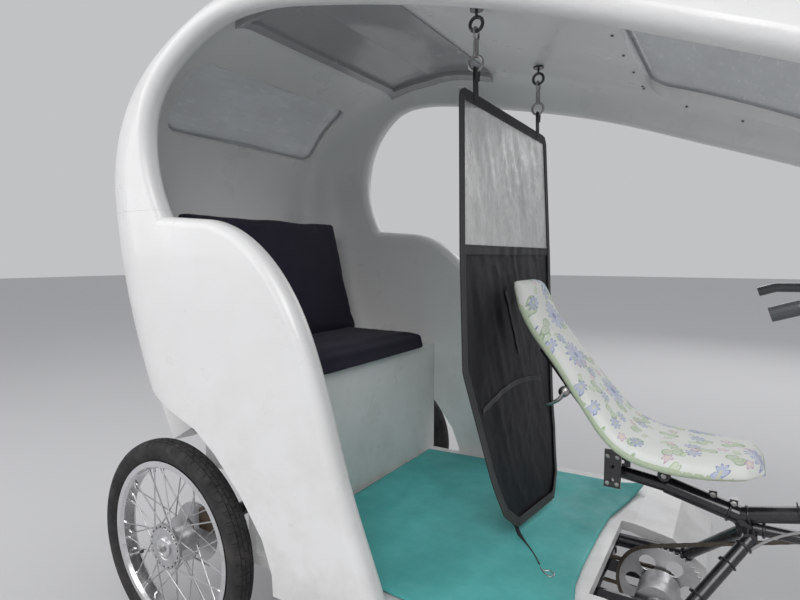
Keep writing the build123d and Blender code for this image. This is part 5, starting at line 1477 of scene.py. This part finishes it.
def build_studio(stage):
    """Floor, even light, three soft lamps and the photograph's camera."""
    floor_mesh = bpy.data.meshes.new("studio_floor")
    corners = [(x * FLOOR_REACH, y * FLOOR_REACH, 0) for x, y in ((-1, -1), (1, -1), (1, 1), (-1, 1))]
    floor_mesh.from_pydata(corners, [], [(0, 1, 2, 3)])
    floor = bpy.data.objects.new("studio_floor", floor_mesh)
    bpy.context.scene.collection.objects.link(floor)
    finish = Finish("studio_floor", rough=0.9, specular=0.1)
    tone = tuple(stage.floor)
    finish.paint(finish.blend(finish.noise(0.8, 2.0), darker(tone, 0.98), tone))
    floor_mesh.materials.append(finish.material)
    world = bpy.data.worlds.new("studio")
    bpy.context.scene.world = world
    world.use_nodes = True
    tree = world.node_tree
    sky = tree.nodes["Background"]
    sky.inputs["Color"].default_value = (0.86, 0.87, 0.89, 1)
    sky.inputs["Strength"].default_value = stage.sky
    for name, place, size, part in LAMPS:
        light = bpy.data.lights.new(name, "AREA")
        light.energy = stage.key_power * part
        light.size = size
        lamp = bpy.data.objects.new(name, light)
        lamp.location = place
        lamp.rotation_euler = (Vector(LAMP_AIM) - Vector(place)).to_track_quat("-Z", "Y").to_euler()
        bpy.context.scene.collection.objects.link(lamp)
    camera = bpy.data.cameras.new("camera")
    camera.sensor_width = SENSOR_WIDTH
    camera.lens = SENSOR_WIDTH * CAMERA_FOCAL
    eye = bpy.data.objects.new("camera", camera)
    turn, dip = math.radians(CAMERA_TURN), math.radians(-CAMERA_DIP)
    ahead = Vector((-math.sin(turn) * math.cos(dip), math.cos(turn) * math.cos(dip), math.sin(dip)))
    eye.location = CAMERA_PLACE
    eye.rotation_euler = ahead.to_track_quat("-Z", "Y").to_euler()
    bpy.context.scene.collection.objects.link(eye)
    bpy.context.scene.camera = eye
    bpy.context.scene.view_settings.view_transform = "Standard"


# Operators
class RICKSHAW_OT_panels(bpy.types.Operator):
    """Paint the moulded body and glaze it, with seals, screws and lamps"""

    bl_idname = "rickshaw.panels"
    bl_label = "Panels and lamps"

    def execute(self, context):
        panel = settings("rickshaw_panels")
        white, grime = tuple(panel.white), tuple(panel.grime)
        body = moulded_white("white_gelcoat", white, grime, panel.dirt)
        lining = moulded_white("grey_lining", tuple(panel.lining), (0.12, 0.11, 0.10), 0.3, rough=0.12)
        pane = scuffed_pane("clear_pane", tuple(panel.pane))
        rubber = plastic("seal_rubber", (0.30, 0.30, 0.30), 0.6)
        screw = metal("dark_screw", (0.20, 0.19, 0.18), 0.4)
        red = lens_glass("red_lens", (0.42, 0.012, 0.012))
        lamp = plastic("lamp_black", (0.02, 0.02, 0.02), 0.25)
        chrome = metal("lamp_chrome", (0.75, 0.75, 0.76), 0.12)
        clear = lens_glass("lamp_glass", (0.62, 0.64, 0.66))
        coat(("lower_shell", "rear_canopy", "front_canopy", "nose_fairing", "floor_pan", "bench_shell"), body)
        coat(("ceiling_panel_rear", "ceiling_panel_front"), lining)
        coat(("rear_window", "windscreen"), pane)
        coat(("tail_lamp_right", "tail_lamp_left"), red)
        coat(("headlamp",), lamp)
        build_screen_trim(panel, rubber, screw)
        build_window_seal(panel, rubber)
        build_lamps(red, lamp, chrome, clear)
        return {"FINISHED"}


class RICKSHAW_OT_wheels(bpy.types.Operator):
    """Fit grooved tyres, spoke nipples, valves and hub caps"""

    bl_idname = "rickshaw.wheels"
    bl_label = "Wheels"

    def execute(self, context):
        wheel = settings("rickshaw_wheels")
        rubber = tyre_rubber("tyre_black", tuple(wheel.rubber))
        chrome = metal("chrome_rim", tuple(wheel.chrome), 0.14, 0.25)
        alloy = metal("hub_alloy", tuple(wheel.alloy), 0.3, 0.4)
        steel = metal("wheel_steel", (0.50, 0.50, 0.50), 0.3, 0.5)
        # black plastic of the valve caps, also used for the painted shade of the flange holes
        dark = plastic("wheel_dark", (0.02, 0.02, 0.02))
        for row in WHEELS:
            coat((row[0] + "_tyre",), rubber)
            coat((row[0] + "_rim",), chrome)
            coat((row[0] + "_hub",), alloy)
            build_tyre(row, wheel, rubber)
            build_wheel_trim(row, alloy, chrome, steel, dark)
        return {"FINISHED"}


class RICKSHAW_OT_drive(bpy.types.Operator):
    """Finish frame, steering and drive, with link chains, teeth, cables and bolts"""

    bl_idname = "rickshaw.drive"
    bl_label = "Frame and drive"

    def execute(self, context):
        drive = settings("rickshaw_drive")
        paint = gloss_paint("black_paint", tuple(drive.paint))
        steel = metal("steel", (0.40, 0.39, 0.38), 0.32, 0.6)
        alloy = metal("gear_alloy", (0.55, 0.55, 0.56), 0.34, 0.5)
        oily = metal("chain_steel", tuple(drive.chain), 0.38, 0.7, (0.05, 0.03, 0.02))
        black = plastic("black_plastic", (0.022, 0.022, 0.023))
        rubber = plastic("pedal_rubber", (0.03, 0.03, 0.03), 0.7)
        grey = plastic("cable_grey", (0.30, 0.30, 0.30), 0.5)
        bar = gloss_paint("dark_bar", tuple(drive.bar), 0.38, (0.30, 0.30, 0.30))
        caliper = metal("caliper_brown", (0.17, 0.13, 0.10), 0.5, 0.8)
        coat(("main_frame", "floor_frame", "axle_housing", "fork", "seat_bracket"), paint)
        coat(("roof_eye_right", "roof_eye_left"), paint)
        coat(("handlebar",), bar)
        coat(("crankset", "snap_hook_right", "snap_hook_left"), steel)
        coat(("brake_caliper_right", "brake_caliper_left"), caliper)
        coat(("gear_hub",), alloy)
        coat(("front_chain", "rear_chain"), oily)
        coat(("chain_idler", "pedal_right", "pedal_left", "battery_box"), black)
        for name, loop, plane_y in CHAINS:
            build_chain(name, loop, plane_y, drive.pitch, oily)
        by_slot = {"hub_alloy": alloy, "steel": steel, "black_paint": steel}
        for row in SPROCKETS:
            build_teeth(row, drive.pitch, by_slot)
        build_frame_trim(black, steel, grey, paint)
        build_seat_clamp(steel, black)
        build_crank_trim(steel, rubber)
        return {"FINISHED"}


class RICKSHAW_OT_cloth(bpy.types.Operator):
    """Lay the mat, stuff the bench cushions, cover the driver's seat and hang the curtain"""

    bl_idname = "rickshaw.cloth"
    bl_label = "Mat, cushions and curtain"

    def execute(self, context):
        cloth = settings("rickshaw_cloth")
        navy = woven("navy_fabric", tuple(cloth.navy), threads=700.0, axes=(0, 1), wear=0.15, sheen=0.05)
        cover = printed_cover("floral_fabric", tuple(cloth.cover))
        hem = woven("cover_hem", tuple(cloth.hem), threads=500.0, axes=(0, 1), wear=0.2)
        hazy = hazy_sheet("clear_sheet")
        dark = tuple(cloth.curtain)
        black = woven(
            "black_fabric", dark, threads=900.0, axes=(1, 2), wear=0.12, rough=0.55, gloss=0.25, sheen=0.0
        )
        webbing = woven("webbing", (0.012, 0.012, 0.013), threads=420.0, axes=(1, 2), wear=0.3)
        thread = plastic("thread", (0.10, 0.10, 0.10), 0.7)
        shell = plastic("seat_plastic", (0.016, 0.016, 0.017), 0.5)
        steel = metal("hook_steel", (0.45, 0.45, 0.45), 0.3, 0.4)
        mat = rubber_mat("teal_rubber", tuple(cloth.mat))
        coat(("floor_mat",), mat)
        coat(("seat_cushion", "back_cushion"), navy)
        coat(("driver_seat_shell",), shell)
        coat(("driver_seat_pad",), cover)
        coat(("curtain_upper",), hazy)
        coat(("curtain_lower",), black)
        coat(("curtain_webbing",), webbing)
        build_mat(mat)
        for name, node, floor_z, seed in CUSHIONS:
            stuffed(name, node, navy, cloth.puff, floor_z, seed)
        build_seat_cover(cover, hem)
        build_curtain(hazy, black, webbing, thread, steel)
        return {"FINISHED"}


class RICKSHAW_OT_stage(bpy.types.Operator):
    """Set up floor, soft light and the photograph's camera"""

    bl_idname = "rickshaw.stage"
    bl_label = "Studio"

    def execute(self, context):
        build_studio(settings("rickshaw_stage"))
        return {"FINISHED"}


OPERATORS = (RICKSHAW_OT_panels, RICKSHAW_OT_wheels, RICKSHAW_OT_drive, RICKSHAW_OT_cloth, RICKSHAW_OT_stage)


class RICKSHAW_PT_build(bpy.types.Panel):
    """Sizes and colours of each group, with its button"""

    bl_idname = "RICKSHAW_PT_build"
    bl_label = "Cycle rickshaw"
    bl_space_type = "VIEW_3D"
    bl_region_type = "UI"
    bl_category = "Rickshaw"

    def draw(self, context):
        for operator, (group, kind) in zip(OPERATORS, SETTINGS.items()):
            box = self.layout.box()
            for key in kind.__annotations__:
                box.prop(getattr(context.scene, group), key)
            box.operator(operator.bl_idname)


def register():
    for kind in (*SETTINGS.values(), *OPERATORS, RICKSHAW_PT_build):
        bpy.utils.register_class(kind)
    for group, kind in SETTINGS.items():
        setattr(bpy.types.Scene, group, bpy.props.PointerProperty(type=kind))


def unregister():
    for group in SETTINGS:
        delattr(bpy.types.Scene, group)
    for kind in reversed((*SETTINGS.values(), *OPERATORS, RICKSHAW_PT_build)):
        bpy.utils.unregister_class(kind)


def main():
    """Dresses the part."""
    register()
    bpy.ops.rickshaw.panels()
    bpy.ops.rickshaw.wheels()
    bpy.ops.rickshaw.drive()
    bpy.ops.rickshaw.cloth()
    bpy.ops.rickshaw.stage()


if __name__ == "__main__":
    main()
